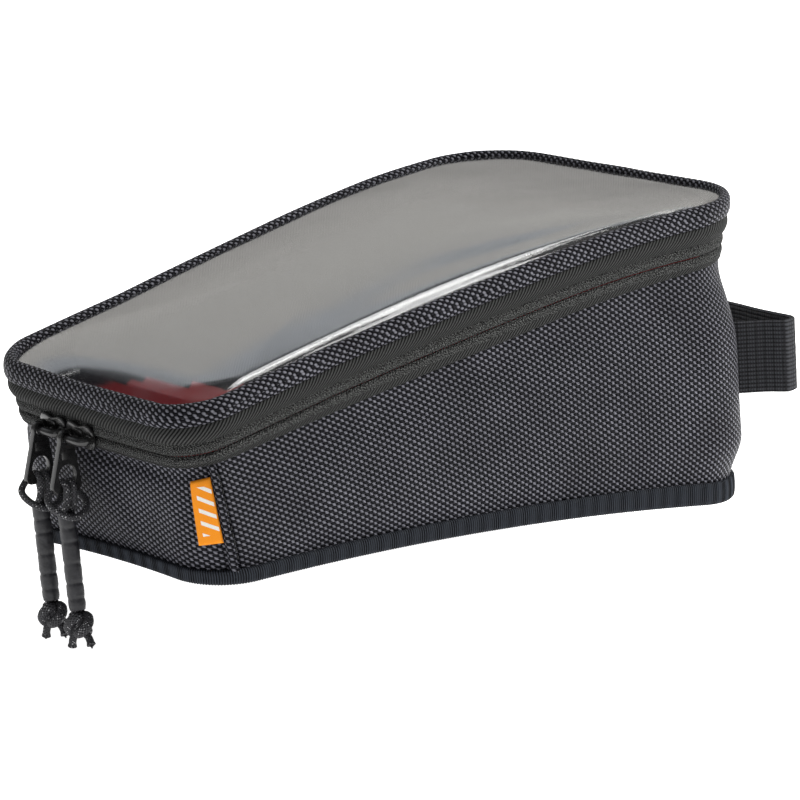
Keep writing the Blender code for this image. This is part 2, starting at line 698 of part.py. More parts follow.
def build_pull(side):
    """A puller in the plane across the zip, and a doubled cord in a sleeve that ends in a knot."""
    pivot = bail_point(side)
    bottom = -PULLER_LENGTH
    outline = arc((0, 0), PULLER_TOP_RADIUS, 200, -20, 8)
    outline += arc((PULLER_BOTTOM_RADIUS - 2.5, bottom + 2.5), 2.5, 0, -90, 3)
    outline += arc((-PULLER_BOTTOM_RADIUS + 2.5, bottom + 2.5), 2.5, -90, -180, 3)
    across = ((0, 1, 0), (0, 0, 1), (1, 0, 0))
    half = PULLER_THICKNESS / 2
    puller = prism("puller_" + side, outline, across, -half, half, "black_metal")
    eye = prism("eye", arc((0, 0), 1.7, 0, 330, 11), across, -4, 4, "black_metal")
    join_by_boolean(puller, eye, "DIFFERENCE")
    hole = [(CORD_HOLE_HALF_WIDTH * c, -CORD_HOLE_DROP + CORD_HOLE_HALF_HEIGHT * s)
            for c, s in arc((0, 0), 1.0, 0, 345, 23)]
    join_by_boolean(puller, prism("hole", hole, across, -4, 4, "black_metal"), "DIFFERENCE")
    hang_on(puller, pivot)

    swing = pivot + Vector((0, 0, -CORD_HOLE_DROP))
    lean = Matrix.Rotation(-PULL_LEAN, 3, "Y")
    sleeve_top = bottom + CORD_HOLE_DROP - SLEEVE_DROP
    knot_top = sleeve_top - SLEEVE_LENGTH - 0.4
    root = Vector((0, 0, sleeve_top))
    spread = half + GAP + CORD / 2 + 0.3
    loop_top = -CORD_HOLE_HALF_HEIGHT + CORD / 2 + 0.4

    def leaned(x, z):
        return root + lean @ Vector((x, 0, z - sleeve_top))

    strand = STRAND_SPACING / 2
    down = [leaned(strand, knot_top + GAP), leaned(strand, (knot_top + sleeve_top) / 2),
            leaned(strand, sleeve_top + 0.3)]
    flare = [Vector((strand + 0.5, 0, sleeve_top + 1.8)), Vector((spread - 0.1, 0, sleeve_top + 3.2)),
             Vector((spread, 0, loop_top - 0.6))]
    crown = [Vector((spread * math.cos(math.radians(a)), 0, loop_top + 1.7 * math.sin(math.radians(a))))
             for a in (35, 65, 90, 115, 145)]
    mirrored = [Vector((-p.x, 0, p.z)) for p in reversed(flare)]
    back = [leaned(-strand, sleeve_top + 0.3), leaned(-strand, (knot_top + sleeve_top) / 2),
            leaned(-strand, knot_top + GAP)]
    cord = tube("pull_cord_" + side, down + flare + crown + mirrored + back, CORD, "cord")
    hang_on(cord, swing)

    outer, bore = SLEEVE_OUTER / 2, SLEEVE_BORE / 2
    sleeve = turned("pull_sleeve_" + side, [(outer, -SLEEVE_LENGTH), (outer, 0.0), (bore, 0.0),
                                            (bore, -SLEEVE_LENGTH)], 20, "sleeve")
    hang_on(sleeve, swing + root, lean)

    wide, tall = KNOT_WIDTH / 2, KNOT_HEIGHT
    knot_outline = [(0.9, 0.0), (wide - 2.2, 0.0), (wide - 0.3, -2.4), (wide, -5.0), (wide - 0.9, -8.0),
                    (wide - 2.4, -tall), (0.9, -tall)]
    knot = spun_solid("pull_knot_" + side, knot_outline, 14, "cord")
    hang_on(knot, swing + root + lean @ Vector((0, 0, knot_top - sleeve_top)), lean)


def spun_solid(name, outline, sides, finish):
    """An outline spun about Z and closed by flat ends, with no bore."""
    rim = outline[1:-1]
    rows = len(rim)
    points = [Vector((r * math.cos(2 * math.pi * k / sides), r * math.sin(2 * math.pi * k / sides), z))
              for r, z in rim for k in range(sides)]
    faces = [tuple(range(sides)), tuple((rows - 1) * sides + k for k in reversed(range(sides)))]
    for row in range(rows - 1):
        for k in range(sides):
            beside = (k + 1) % sides
            a, b = row * sides, (row + 1) * sides
            faces.append((a + k, b + k, b + beside, a + beside))
    return add_mesh(name, points, faces, finish)


def main():
    clear_scene()
    build_base()
    build_walls()
    build_label()
    build_zip()
    build_hinge()
    build_lid()
    build_loop()
    for side in ("right", "left"):
        build_slider(side)
        build_pull(side)
    bpy.context.view_layer.update()


main()
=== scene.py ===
"""Looks of the tank bag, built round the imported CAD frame. Shapes are in millimetres, as in the CAD.

+Y points to the tall end with the webbing loop, -Y to the low end with the zip sliders, +X to the near
side, and the origin is on the facet under the arched base.
"""
import math
from bisect import bisect_left

import bpy
import bmesh
from mathutils import Matrix, Vector, noise


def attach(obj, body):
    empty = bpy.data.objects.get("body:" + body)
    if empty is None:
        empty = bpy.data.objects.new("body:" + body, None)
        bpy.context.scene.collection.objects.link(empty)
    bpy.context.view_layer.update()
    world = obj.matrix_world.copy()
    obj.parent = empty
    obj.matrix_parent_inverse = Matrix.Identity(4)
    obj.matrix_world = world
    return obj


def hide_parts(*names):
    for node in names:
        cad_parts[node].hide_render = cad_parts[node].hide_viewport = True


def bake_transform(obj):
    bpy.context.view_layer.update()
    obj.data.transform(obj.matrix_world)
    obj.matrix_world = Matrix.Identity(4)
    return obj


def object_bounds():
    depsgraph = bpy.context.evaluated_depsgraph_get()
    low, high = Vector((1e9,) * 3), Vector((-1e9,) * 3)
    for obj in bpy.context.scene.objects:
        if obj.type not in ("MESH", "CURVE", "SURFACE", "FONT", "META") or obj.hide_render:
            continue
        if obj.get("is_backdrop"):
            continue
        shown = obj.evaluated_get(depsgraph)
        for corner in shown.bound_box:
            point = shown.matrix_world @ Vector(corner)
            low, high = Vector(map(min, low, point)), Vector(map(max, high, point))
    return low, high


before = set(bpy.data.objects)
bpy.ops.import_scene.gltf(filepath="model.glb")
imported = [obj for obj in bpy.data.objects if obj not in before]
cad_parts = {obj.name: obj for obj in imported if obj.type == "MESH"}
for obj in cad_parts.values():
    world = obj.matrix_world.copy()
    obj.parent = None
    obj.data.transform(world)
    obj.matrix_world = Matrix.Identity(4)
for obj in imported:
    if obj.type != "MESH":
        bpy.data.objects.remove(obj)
CAD_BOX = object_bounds()

MM = 0.001
GAP = 0.3

# The CAD's outlines, heights and depths.
BASE_LENGTH = 240.0
BASE_HALF_FRONT, BASE_HALF_REAR = 52.0, 75.7
BASE_CORNER_FRONT, BASE_CORNER_REAR = 21.0, 29.1
BASE_ARCH, BASE_CAMBER, CAMBER_REACH, FACET_DROP = 5.8, 2.7, 60.0, 0.8
LID_HALF_FRONT, LID_HALF_REAR = 55.5, 75.2
LID_FRONT_Y, LID_REAR_Y = -132.3, 116.5
LID_CORNER_FRONT, LID_CORNER_REAR = 20.0, 30.0
LID_FRONT_BOW = 2.0
RIM_STATIONS = ((-137.0, 54.8), (-87.0, 66.8), (-18.0, 82.7), (50.0, 96.2), (120.0, 103.6))
FRONT_TILT, TILT_REACH = 1.8, 60.0
WELT_DEPTH, ZIP_CENTRE, TAPE_BOTTOM, SHELL_TOP = 7.5, 18.4, 25.0, 23.2
FIRM_DEPTH, END_SHARE = 21.3, 0.35
TAPE, COIL, SHELL, BINDING, BASE_SHEET, WINDOW = 0.8, 2.2, 1.2, 1.0, 1.2, 0.8
TAPE_INSET, TAPE_SLOPE, LEAN, TUCK = 2.2, 0.152, 0.1, 0.1
BINDING_HEIGHT, BINDING_LIP = 0.06, 7.0
LID_EDGE, POCKET_SAG, POCKET_FRONT, MOUTH_FADE, WINDOW_CROWN = 4.8, 10.0, 24.0, 16.0, 4.0

# Outline divisions, four times as fine as the CAD's.
FINER = 4
CORNER_STEPS, SIDE_STEPS, REAR_STEPS, FRONT_STEPS = 5 * FINER, 8 * FINER, 6 * FINER, 6 * FINER
RING = 4 * CORNER_STEPS + 2 * SIDE_STEPS + REAR_STEPS + FRONT_STEPS
REAR_START = 2 * CORNER_STEPS + SIDE_STEPS
REAR_END = REAR_START + REAR_STEPS
NEAR_SEAM = 3 * FINER
FAR_SEAM = RING - FRONT_STEPS - 3 * FINER

# Sliders, pullers and pulls.
SLIDER_X = {"right": -3.4, "left": -18.2}
PULLER_X = {"right": -6.8, "left": -21.6}
BAIL_STANDOFF = 5.6
CORD_HOLE_DROP = 12.8
PULLER_LENGTH = 18.5
CORD = 2.4
SLEEVE_DROP, SLEEVE_LENGTH = 7.0, 33.0
PULL_LEAN = math.radians(9.5)
LOOP_LEAN = math.radians(4.35)


# ---------------------------------------------------------------- shader nodes

class Nodes:
    """Adds nodes to a shader tree. Its helpers take and return sockets or plain values."""

    def __init__(self, tree):
        self.tree = tree

    def put(self, socket, value):
        if isinstance(value, bpy.types.NodeSocket):
            self.tree.links.new(value, socket)
        elif isinstance(value, tuple) and len(value) == 3 and socket.type == "RGBA":
            socket.default_value = (*value, 1.0)
        else:
            socket.default_value = value

    def split(self, vector):
        """The X, Y and Z of a vector."""
        node = self.tree.nodes.new("ShaderNodeSeparateXYZ")
        self.put(node.inputs["Vector"], vector)
        return node.outputs

    def ramp(self, value, *stops):
        """Map a value through (position, colour or grey) stops."""
        node = self.tree.nodes.new("ShaderNodeValToRGB")
        self.put(node.inputs["Fac"], value)
        elements = node.color_ramp.elements
        while len(elements) < len(stops):
            elements.new(0.5)
        for element, (place, colour) in zip(elements, stops):
            element.position = place
            grey = (colour,) * 3 if isinstance(colour, (int, float)) else colour
            element.color = (*grey, 1.0)
        return node.outputs["Color"]

    def mix(self, share, first, second, blend="MIX"):
        node = self.tree.nodes.new("ShaderNodeMix")
        node.data_type = "RGBA"
        node.blend_type = blend
        for name, value in (("Factor", share), ("A", first), ("B", second)):
            self.put(node.inputs[name], value)
        return [o for o in node.outputs if o.type == "RGBA"][0]


# ---------------------------------------------------------------- camera, light and floor

def look_from(location, target):
    return (Vector(location) - Vector(target)).to_track_quat("Z", "Y").to_euler()


CAMERA_AZIMUTH, CAMERA_ELEVATION = math.radians(48.6), math.radians(12.0)
CAMERA_AIM, CAMERA_DISTANCE = Vector((24.7, -13.6, 37.8)) * MM, 1585.1 * MM
CAMERA_LENS, CAMERA_SENSOR = 206.3, 36.0


def add_camera():
    azimuth, elevation = CAMERA_AZIMUTH, CAMERA_ELEVATION
    back = Vector((math.sin(azimuth) * math.cos(elevation), -math.cos(azimuth) * math.cos(elevation),
                   math.sin(elevation)))
    data = bpy.data.cameras.new("camera")
    data.lens, data.sensor_width = CAMERA_LENS, CAMERA_SENSOR
    data.clip_end = 50.0
    camera = bpy.data.objects.new("camera", data)
    camera.location = CAMERA_AIM + back * CAMERA_DISTANCE
    camera.rotation_euler = look_from(camera.location, CAMERA_AIM)
    bpy.context.scene.collection.objects.link(camera)
    bpy.context.scene.camera = camera


def add_area(name, location, target, size, power, colour=(1, 1, 1)):
    data = bpy.data.lights.new(name, "AREA")
    data.shape = "RECTANGLE"
    data.size, data.size_y = size
    data.energy = power
    data.color = colour
    lamp = bpy.data.objects.new(name, data)
    lamp.location = location
    lamp.rotation_euler = look_from(location, target)
    bpy.context.scene.collection.objects.link(lamp)


# The room's dim grey, and the bright card that the window mirrors. The card's stops go by the height of
# the direction: warm grey low down, near white, a bluish band, dark, and the room's grey overhead.
ROOM = (0.20, 0.20, 0.205)
CARD_SIDE = (-0.81, 0.58, 0.0)
SKY_CARD = ((0.0, (0.38, 0.37, 0.36)), (0.20, (0.46, 0.45, 0.435)), (0.30, (0.66, 0.645, 0.62)),
            (0.42, (0.88, 0.865, 0.83)), (0.54, (1.0, 0.985, 0.95)), (0.58, (0.88, 0.93, 1.0)),
            (0.64, (0.88, 0.93, 1.0)), (0.67, (0.05, 0.052, 0.06)), (0.76, (0.05, 0.052, 0.06)),
            (1.0, (0.2, 0.2, 0.2)))
FLOOR_HALF, FLOOR_DROP = 40.0, 0.001


def add_studio():
    scene = bpy.context.scene
    scene.view_settings.view_transform = "Standard"
    world = bpy.data.worlds.new("studio")
    scene.world = world
    world.use_nodes = True
    nodes = Nodes(world.node_tree)
    sky = nodes.tree.nodes["Background"]
    direction = nodes.tree.nodes.new("ShaderNodeTexCoord").outputs["Generated"]
    facing = nodes.tree.nodes.new("ShaderNodeVectorMath")
    facing.operation = "DOT_PRODUCT"
    nodes.put(facing.inputs[0], direction)
    facing.inputs[1].default_value = CARD_SIDE
    card = nodes.ramp(facing.outputs["Value"], (0.25, 0.0), (0.6, 1.0))
    rise = nodes.ramp(nodes.split(direction)["Z"], *SKY_CARD)
    nodes.put(sky.inputs["Color"], nodes.mix(card, ROOM, rise))
    sky.inputs["Strength"].default_value = 1.0

    middle = (0, 0, 0.05)
    add_area("key", (1.0, 1.2, 1.5), middle, (0.7, 0.7), 46.0, (1.0, 0.99, 0.97))
    add_area("front_fill", (0.6, -2.2, 1.0), middle, (1.2, 1.0), 4.0, (0.97, 0.98, 1.0))
    add_area("top", (-0.62, 0.55, 1.9), middle, (0.7, 1.0), 13.0)

    mesh = bpy.data.meshes.new("floor")
    far, low = FLOOR_HALF, CAD_BOX[0].z - FLOOR_DROP
    mesh.from_pydata([(-far, -far, low), (far, -far, low), (far, far, low), (-far, far, low)], [],
                     [(0, 1, 2, 3)])
    floor = bpy.data.objects.new("floor", mesh)
    scene.collection.objects.link(floor)
    paint = bpy.data.materials.new("floor_paint")
    paint.use_nodes = True
    shader = paint.node_tree.nodes["Principled BSDF"]
    shader.inputs["Base Color"].default_value = (0.85, 0.85, 0.85, 1)
    shader.inputs["Roughness"].default_value = 0.9
    shader.inputs["Emission Color"].default_value = (1, 1, 1, 1)
    shader.inputs["Emission Strength"].default_value = 1.0
    mesh.materials.append(paint)
    floor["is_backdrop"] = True


add_camera()
add_studio()


# ---------------------------------------------------------------- outlines, as in the CAD

def rounded_outline(half_front, half_rear, y_front, y_rear, r_front, r_rear):
    corners = [(half_front, y_front, r_front), (half_rear, y_rear, r_rear),
               (-half_rear, y_rear, r_rear), (-half_front, y_front, r_front)]
    arcs = []
    for place, (x, y, radius) in enumerate(corners):
        here = Vector((x, y))
        before = (Vector(corners[place - 1][:2]) - here).normalized()
        after = (Vector(corners[(place + 1) % 4][:2]) - here).normalized()
        half_angle = before.angle(after) / 2
        centre = here + (before + after).normalized() * radius / math.sin(half_angle)
        first = here + before * radius / math.tan(half_angle) - centre
        sweep = math.pi - 2 * half_angle
        start = math.atan2(first.y, first.x)
        arcs.append([centre + radius * Vector((math.cos(start + sweep * k / CORNER_STEPS),
                                               math.sin(start + sweep * k / CORNER_STEPS)))
                     for k in range(CORNER_STEPS + 1)])
    points = []
    for place, steps in enumerate((SIDE_STEPS, REAR_STEPS, SIDE_STEPS, FRONT_STEPS)):
        arc_points, following = arcs[place], arcs[(place + 1) % 4]
        points += arc_points
        points += [arc_points[-1].lerp(following[0], k / steps) for k in range(1, steps)]
    return points


outlines = {}


def base_outline(inset):
    key = ("base", round(inset, 3))
    if key not in outlines:
        outlines[key] = rounded_outline(
            BASE_HALF_FRONT - inset, BASE_HALF_REAR - inset, -BASE_LENGTH / 2 + inset,
            BASE_LENGTH / 2 - inset, BASE_CORNER_FRONT - min(inset, 9.0), BASE_CORNER_REAR - inset)
    return outlines[key]


def lid_outline(inset, front_cut=0.0, front_corner=None):
    key = ("lid", round(inset, 3), front_cut)
    if key in outlines:
        return outlines[key]
    front_y = LID_FRONT_Y + inset + front_cut
    widen = (LID_HALF_REAR - LID_HALF_FRONT) * front_cut / (LID_REAR_Y - LID_FRONT_Y)
    half_front = LID_HALF_FRONT - inset + widen
    points = rounded_outline(half_front, LID_HALF_REAR - inset, front_y, LID_REAR_Y - inset,
                             front_corner or LID_CORNER_FRONT - inset, LID_CORNER_REAR - inset)
    shaped = []
    for point in points:
        along = (point.y - LID_FRONT_Y - inset) / (LID_REAR_Y - LID_FRONT_Y - 2 * inset)
        half = half_front + (LID_HALF_REAR - LID_HALF_FRONT) * along
        across = min(1.0, abs(point.x) / half)
        bow = LID_FRONT_BOW * (1 - across ** 2) * max(0.0, 1 - 4 * along)
        shaped.append(Vector((point.x, point.y - bow)))
    outlines[key] = shaped
    return shaped


def between(outline, t):
    """A point of a closed outline at a fractional index."""
    i = math.floor(t)
    return outline[i % RING].lerp(outline[(i + 1) % RING], t - i)


def rim_height(x, y):
    fade = min(1.0, max(0.0, 1 - (y - LID_FRONT_Y) / TILT_REACH))
    return rim_curve(y) - FRONT_TILT * fade * x / LID_HALF_FRONT


def rim_curve(y):
    stations = RIM_STATIONS
    slopes = []
    for place in range(len(stations)):
        low, high = max(place - 1, 0), min(place + 1, len(stations) - 1)
        slopes.append((stations[high][1] - stations[low][1]) / (stations[high][0] - stations[low][0]))
    if y <= stations[0][0]:
        return stations[0][1] + slopes[0] * (y - stations[0][0])
    for (y0, z0), (y1, z1), m0, m1 in zip(stations, stations[1:], slopes, slopes[1:]):
        if y <= y1:
            span = y1 - y0
            t = (y - y0) / span
            return ((2 * t ** 3 - 3 * t ** 2 + 1) * z0 + (t ** 3 - 2 * t ** 2 + t) * span * m0
                    + (3 * t ** 2 - 2 * t ** 3) * z1 + (t ** 3 - t ** 2) * span * m1)
    return stations[-1][1] + slopes[-1] * (y - stations[-1][0])


def underside(x, y):
    rise = BASE_ARCH * (2 * y / BASE_LENGTH) ** 2 + BASE_CAMBER * (x / CAMBER_REACH) ** 2
    return -max(0.0, rise - FACET_DROP)


def rim_point(t, inset, depth):
    flat = between(lid_outline(inset), t)
    return Vector((flat.x, flat.y + LEAN * max(0.0, depth - WELT_DEPTH), rim_height(flat.x, flat.y) - depth))


def zip_point(t, behind, depth):
    if depth > FIRM_DEPTH:
        along = (between(lid_outline(0.0), t).y - LID_FRONT_Y) / (LID_REAR_Y - LID_FRONT_Y)
        share = END_SHARE + (1 - END_SHARE) * math.sin(math.pi * min(1.0, max(0.0, along)))
        depth = FIRM_DEPTH + (depth - FIRM_DEPTH) * share
    return rim_point(t, TAPE_INSET + TAPE_SLOPE * (depth - WELT_DEPTH) + behind, depth)


def wall_point(t, behind, up):
    flat = between(base_outline(BINDING + GAP + behind), t)
    low = Vector((flat.x, flat.y, underside(flat.x, flat.y) + BASE_SHEET + GAP))
    foot = zip_point(t, TAPE + GAP + behind, TAPE_BOTTOM + GAP)
    if up <= 1.0:
        return low.lerp(foot, up)
    return foot.lerp(zip_point(t, TAPE + GAP + behind, SHELL_TOP), (up - 1.0) / TUCK)


def ring_normal(t):
    """The outline's outward direction in plan at a fractional index."""
    outline = base_outline(0.0)
    along = between(outline, t + 1.5) - between(outline, t - 1.5)
    return Vector((along.y, -along.x, 0.0)).normalized()


def smooth(low, high, value):
    share = min(1.0, max(0.0, (value - low) / (high - low)))
    return share * share * (3 - 2 * share)


def bump_at(value, centre, width):
    """A smooth bump of height 1 around a centre."""
    return math.exp(-((value - centre) / width) ** 2)


def ripple(point, size, seed):
    """Smooth noise about -1 to 1 at a point in millimetres, with features of some size."""
    return noise.noise(Vector(point) / size + Vector((seed, seed * 1.7, -seed)))


def arc(centre, radius, start, end, steps):
    angles = [math.radians(start + (end - start) * k / steps) for k in range(steps + 1)]
    return [(centre[0] + radius * math.cos(a), centre[1] + radius * math.sin(a)) for a in angles]


# ---------------------------------------------------------------- material nodes

class Shade(Nodes):
    """One Principled material under construction."""

    def __init__(self, name):
        self.material = bpy.data.materials.new(name)
        self.material.use_nodes = True
        super().__init__(self.material.node_tree)
        self.shader = self.tree.nodes["Principled BSDF"]

    def set(self, **values):
        for key, value in values.items():
            self.put(self.shader.inputs[key.replace("_", " ")], value)

    def math(self, operation, *values):
        node = self.tree.nodes.new("ShaderNodeMath")
        node.operation = operation
        for socket, value in zip(node.inputs, values):
            self.put(socket, value)
        return node.outputs[0]

    def uv(self):
        """The piece's own surface coordinates, in millimetres."""
        node = self.tree.nodes.new("ShaderNodeUVMap")
        node.uv_map = "UVMap"
        parts = self.split(node.outputs["UV"])
        return parts["X"], parts["Y"]

    def place(self):
        """The point on the object, in millimetres."""
        node = self.tree.nodes.new("ShaderNodeTexCoord")
        scale = self.tree.nodes.new("ShaderNodeVectorMath")
        scale.operation = "SCALE"
        scale.inputs["Scale"].default_value = 1 / MM
        self.tree.links.new(node.outputs["Object"], scale.inputs[0])
        return scale.outputs[0]

    def combine(self, x, y):
        node = self.tree.nodes.new("ShaderNodeCombineXYZ")
        for socket, value in zip(node.inputs, (x, y)):
            self.put(socket, value)
        return node.outputs[0]

    def noise(self, vector, scale, detail=2.0):
        node = self.tree.nodes.new("ShaderNodeTexNoise")
        self.put(node.inputs["Vector"], vector)
        node.inputs["Scale"].default_value = scale
        node.inputs["Detail"].default_value = detail
        return node.outputs["Fac"]

    def bump(self, height, distance):
        """Bend the normal by a height of 0 to 1 and its depth in millimetres."""
        node = self.tree.nodes.new("ShaderNodeBump")
        node.inputs["Strength"].default_value = 1.0
        node.inputs["Distance"].default_value = distance * MM
        self.put(node.inputs["Height"], height)
        self.put(self.shader.inputs["Normal"], node.outputs["Normal"])

    def near(self, value, middle, reach):
        """1 where a value is within reach of a middle, else 0."""
        gap = self.math("ABSOLUTE", self.math("SUBTRACT", value, middle))
        return self.math("LESS_THAN", gap, reach)

    def wave(self, value, pitch):
        """0 to 1 and back over each pitch: the round profile of a row of threads."""
        turns = self.math("MULTIPLY", value, math.pi / pitch)
        return self.math("ABSOLUTE", self.math("SINE", turns))

    def crossings(self, u, v, across, up, lift, slant):
        """Height of a plain weave of thick yarns, and 1 where the yarn along u is on top."""
        iu = self.math("FLOOR", self.math("DIVIDE", u, across))
        iv = self.math("FLOOR", self.math("DIVIDE", v, up))
        parity = self.math("FLOORED_MODULO", self.math("ADD", iu, iv), 2.0)
        sign = self.math("MULTIPLY_ADD", parity, 2.0, -1.0)
        from_middle = self.math("SUBTRACT", u, self.math("MULTIPLY", self.math("ADD", iu, 0.5), across))
        leaning = self.math("MULTIPLY_ADD", from_middle, slant, v)
        cu, cv, tilted = self.wave(u, across), self.wave(v, up), self.wave(leaning, up)
        round_u = self.math("MULTIPLY", self.math("POWER", cu, 0.6), 1 - lift)
        round_v = self.math("MULTIPLY", self.math("POWER", tilted, 0.6), 1 - lift)
        rise = self.math("MULTIPLY", sign, lift)
        along_u = self.math("MULTIPLY_ADD", rise, cu, round_v)
        along_v = self.math("MULTIPLY_ADD", self.math("MULTIPLY", rise, -1.0), cv, round_u)
        return self.math("MAXIMUM", along_u, along_v), self.math("GREATER_THAN", along_u, along_v)


WEAVE_LIFT, WEAVE_DEPTH = 0.55, 0.55
ROUGH_GAP, ROUGH_CROWN = 0.6, 0.36


def weave_material(name, across, up, colours, slant, skew=0.0):
    """Thick synthetic yarns, across and up being the sizes of one crossing. The colours are the painted shade
    in the gaps between yarns, the yarn along v, the yarn along u, which is painted far lighter than the yarn
    along v as painted sheen, and the painted highlight on the crowns of the yarn along u."""
    shade = Shade(name)
    u, v = shade.uv()
    wander = shade.noise(shade.place(), 0.35, 2.0)
    u = shade.math("MULTIPLY_ADD", wander, 0.5, u)
    if skew:
        u = shade.math("MULTIPLY_ADD", v, skew, u)
    height, on_top = shade.crossings(u, v, across, up, WEAVE_LIFT, slant)
    gap, along_v, along_u, crown = colours
    # Painted sheen and shade: the yarn along u is painted far lighter than the yarn along v, and the colour
    # falls to the painted shade of the gaps as the height drops.
    yarn = shade.mix(on_top, along_v, along_u)
    lit = shade.math("POWER", shade.math("MAXIMUM", height, 0.0), 2.0)
    colour = shade.mix(lit, gap, yarn)
    # Painted highlight: the crowns of the yarns along u take the bright crown colour.
    top = shade.ramp(height, (0.45, 0.0), (0.90, 1.0))
    colour = shade.mix(shade.math("MULTIPLY", top, on_top), colour, crown)
    fade = shade.ramp(shade.noise(shade.place(), 0.045, 3.0), (0.3, 0.75), (0.7, 1.15))
    colour = shade.mix(1.0, colour, fade, "MULTIPLY")
    fine_u, fine_v = shade.math("MULTIPLY", u, 1.2), shade.math("MULTIPLY", v, 7.0)
    strands = shade.noise(shade.combine(fine_u, fine_v), 1.0)
    grain = shade.math("MULTIPLY_ADD", strands, 0.18, height)
    shine = shade.math("MULTIPLY", lit, shade.math("MULTIPLY_ADD", on_top, 0.8, 0.2))
    shade.set(Base_Color=colour, Specular_IOR_Level=shade.math("MULTIPLY_ADD", shine, 0.22, 0.01))
    shade.set(Roughness=shade.math("MULTIPLY_ADD", height, ROUGH_CROWN - ROUGH_GAP, ROUGH_GAP))
    shade.bump(grain, WEAVE_DEPTH)
    return shade.material


def grainy_material(name, scale, detail, dark, light, depth=0.0, **values):
    """A plain material whose grey follows fine noise, with that noise as its relief."""
    shade = Shade(name)
    grain = shade.noise(shade.place(), scale, detail)
    shade.set(Base_Color=shade.ramp(grain, (0.3, dark), (0.7, light)), **values)
    if depth:
        shade.bump(grain, depth)
    return shade.material


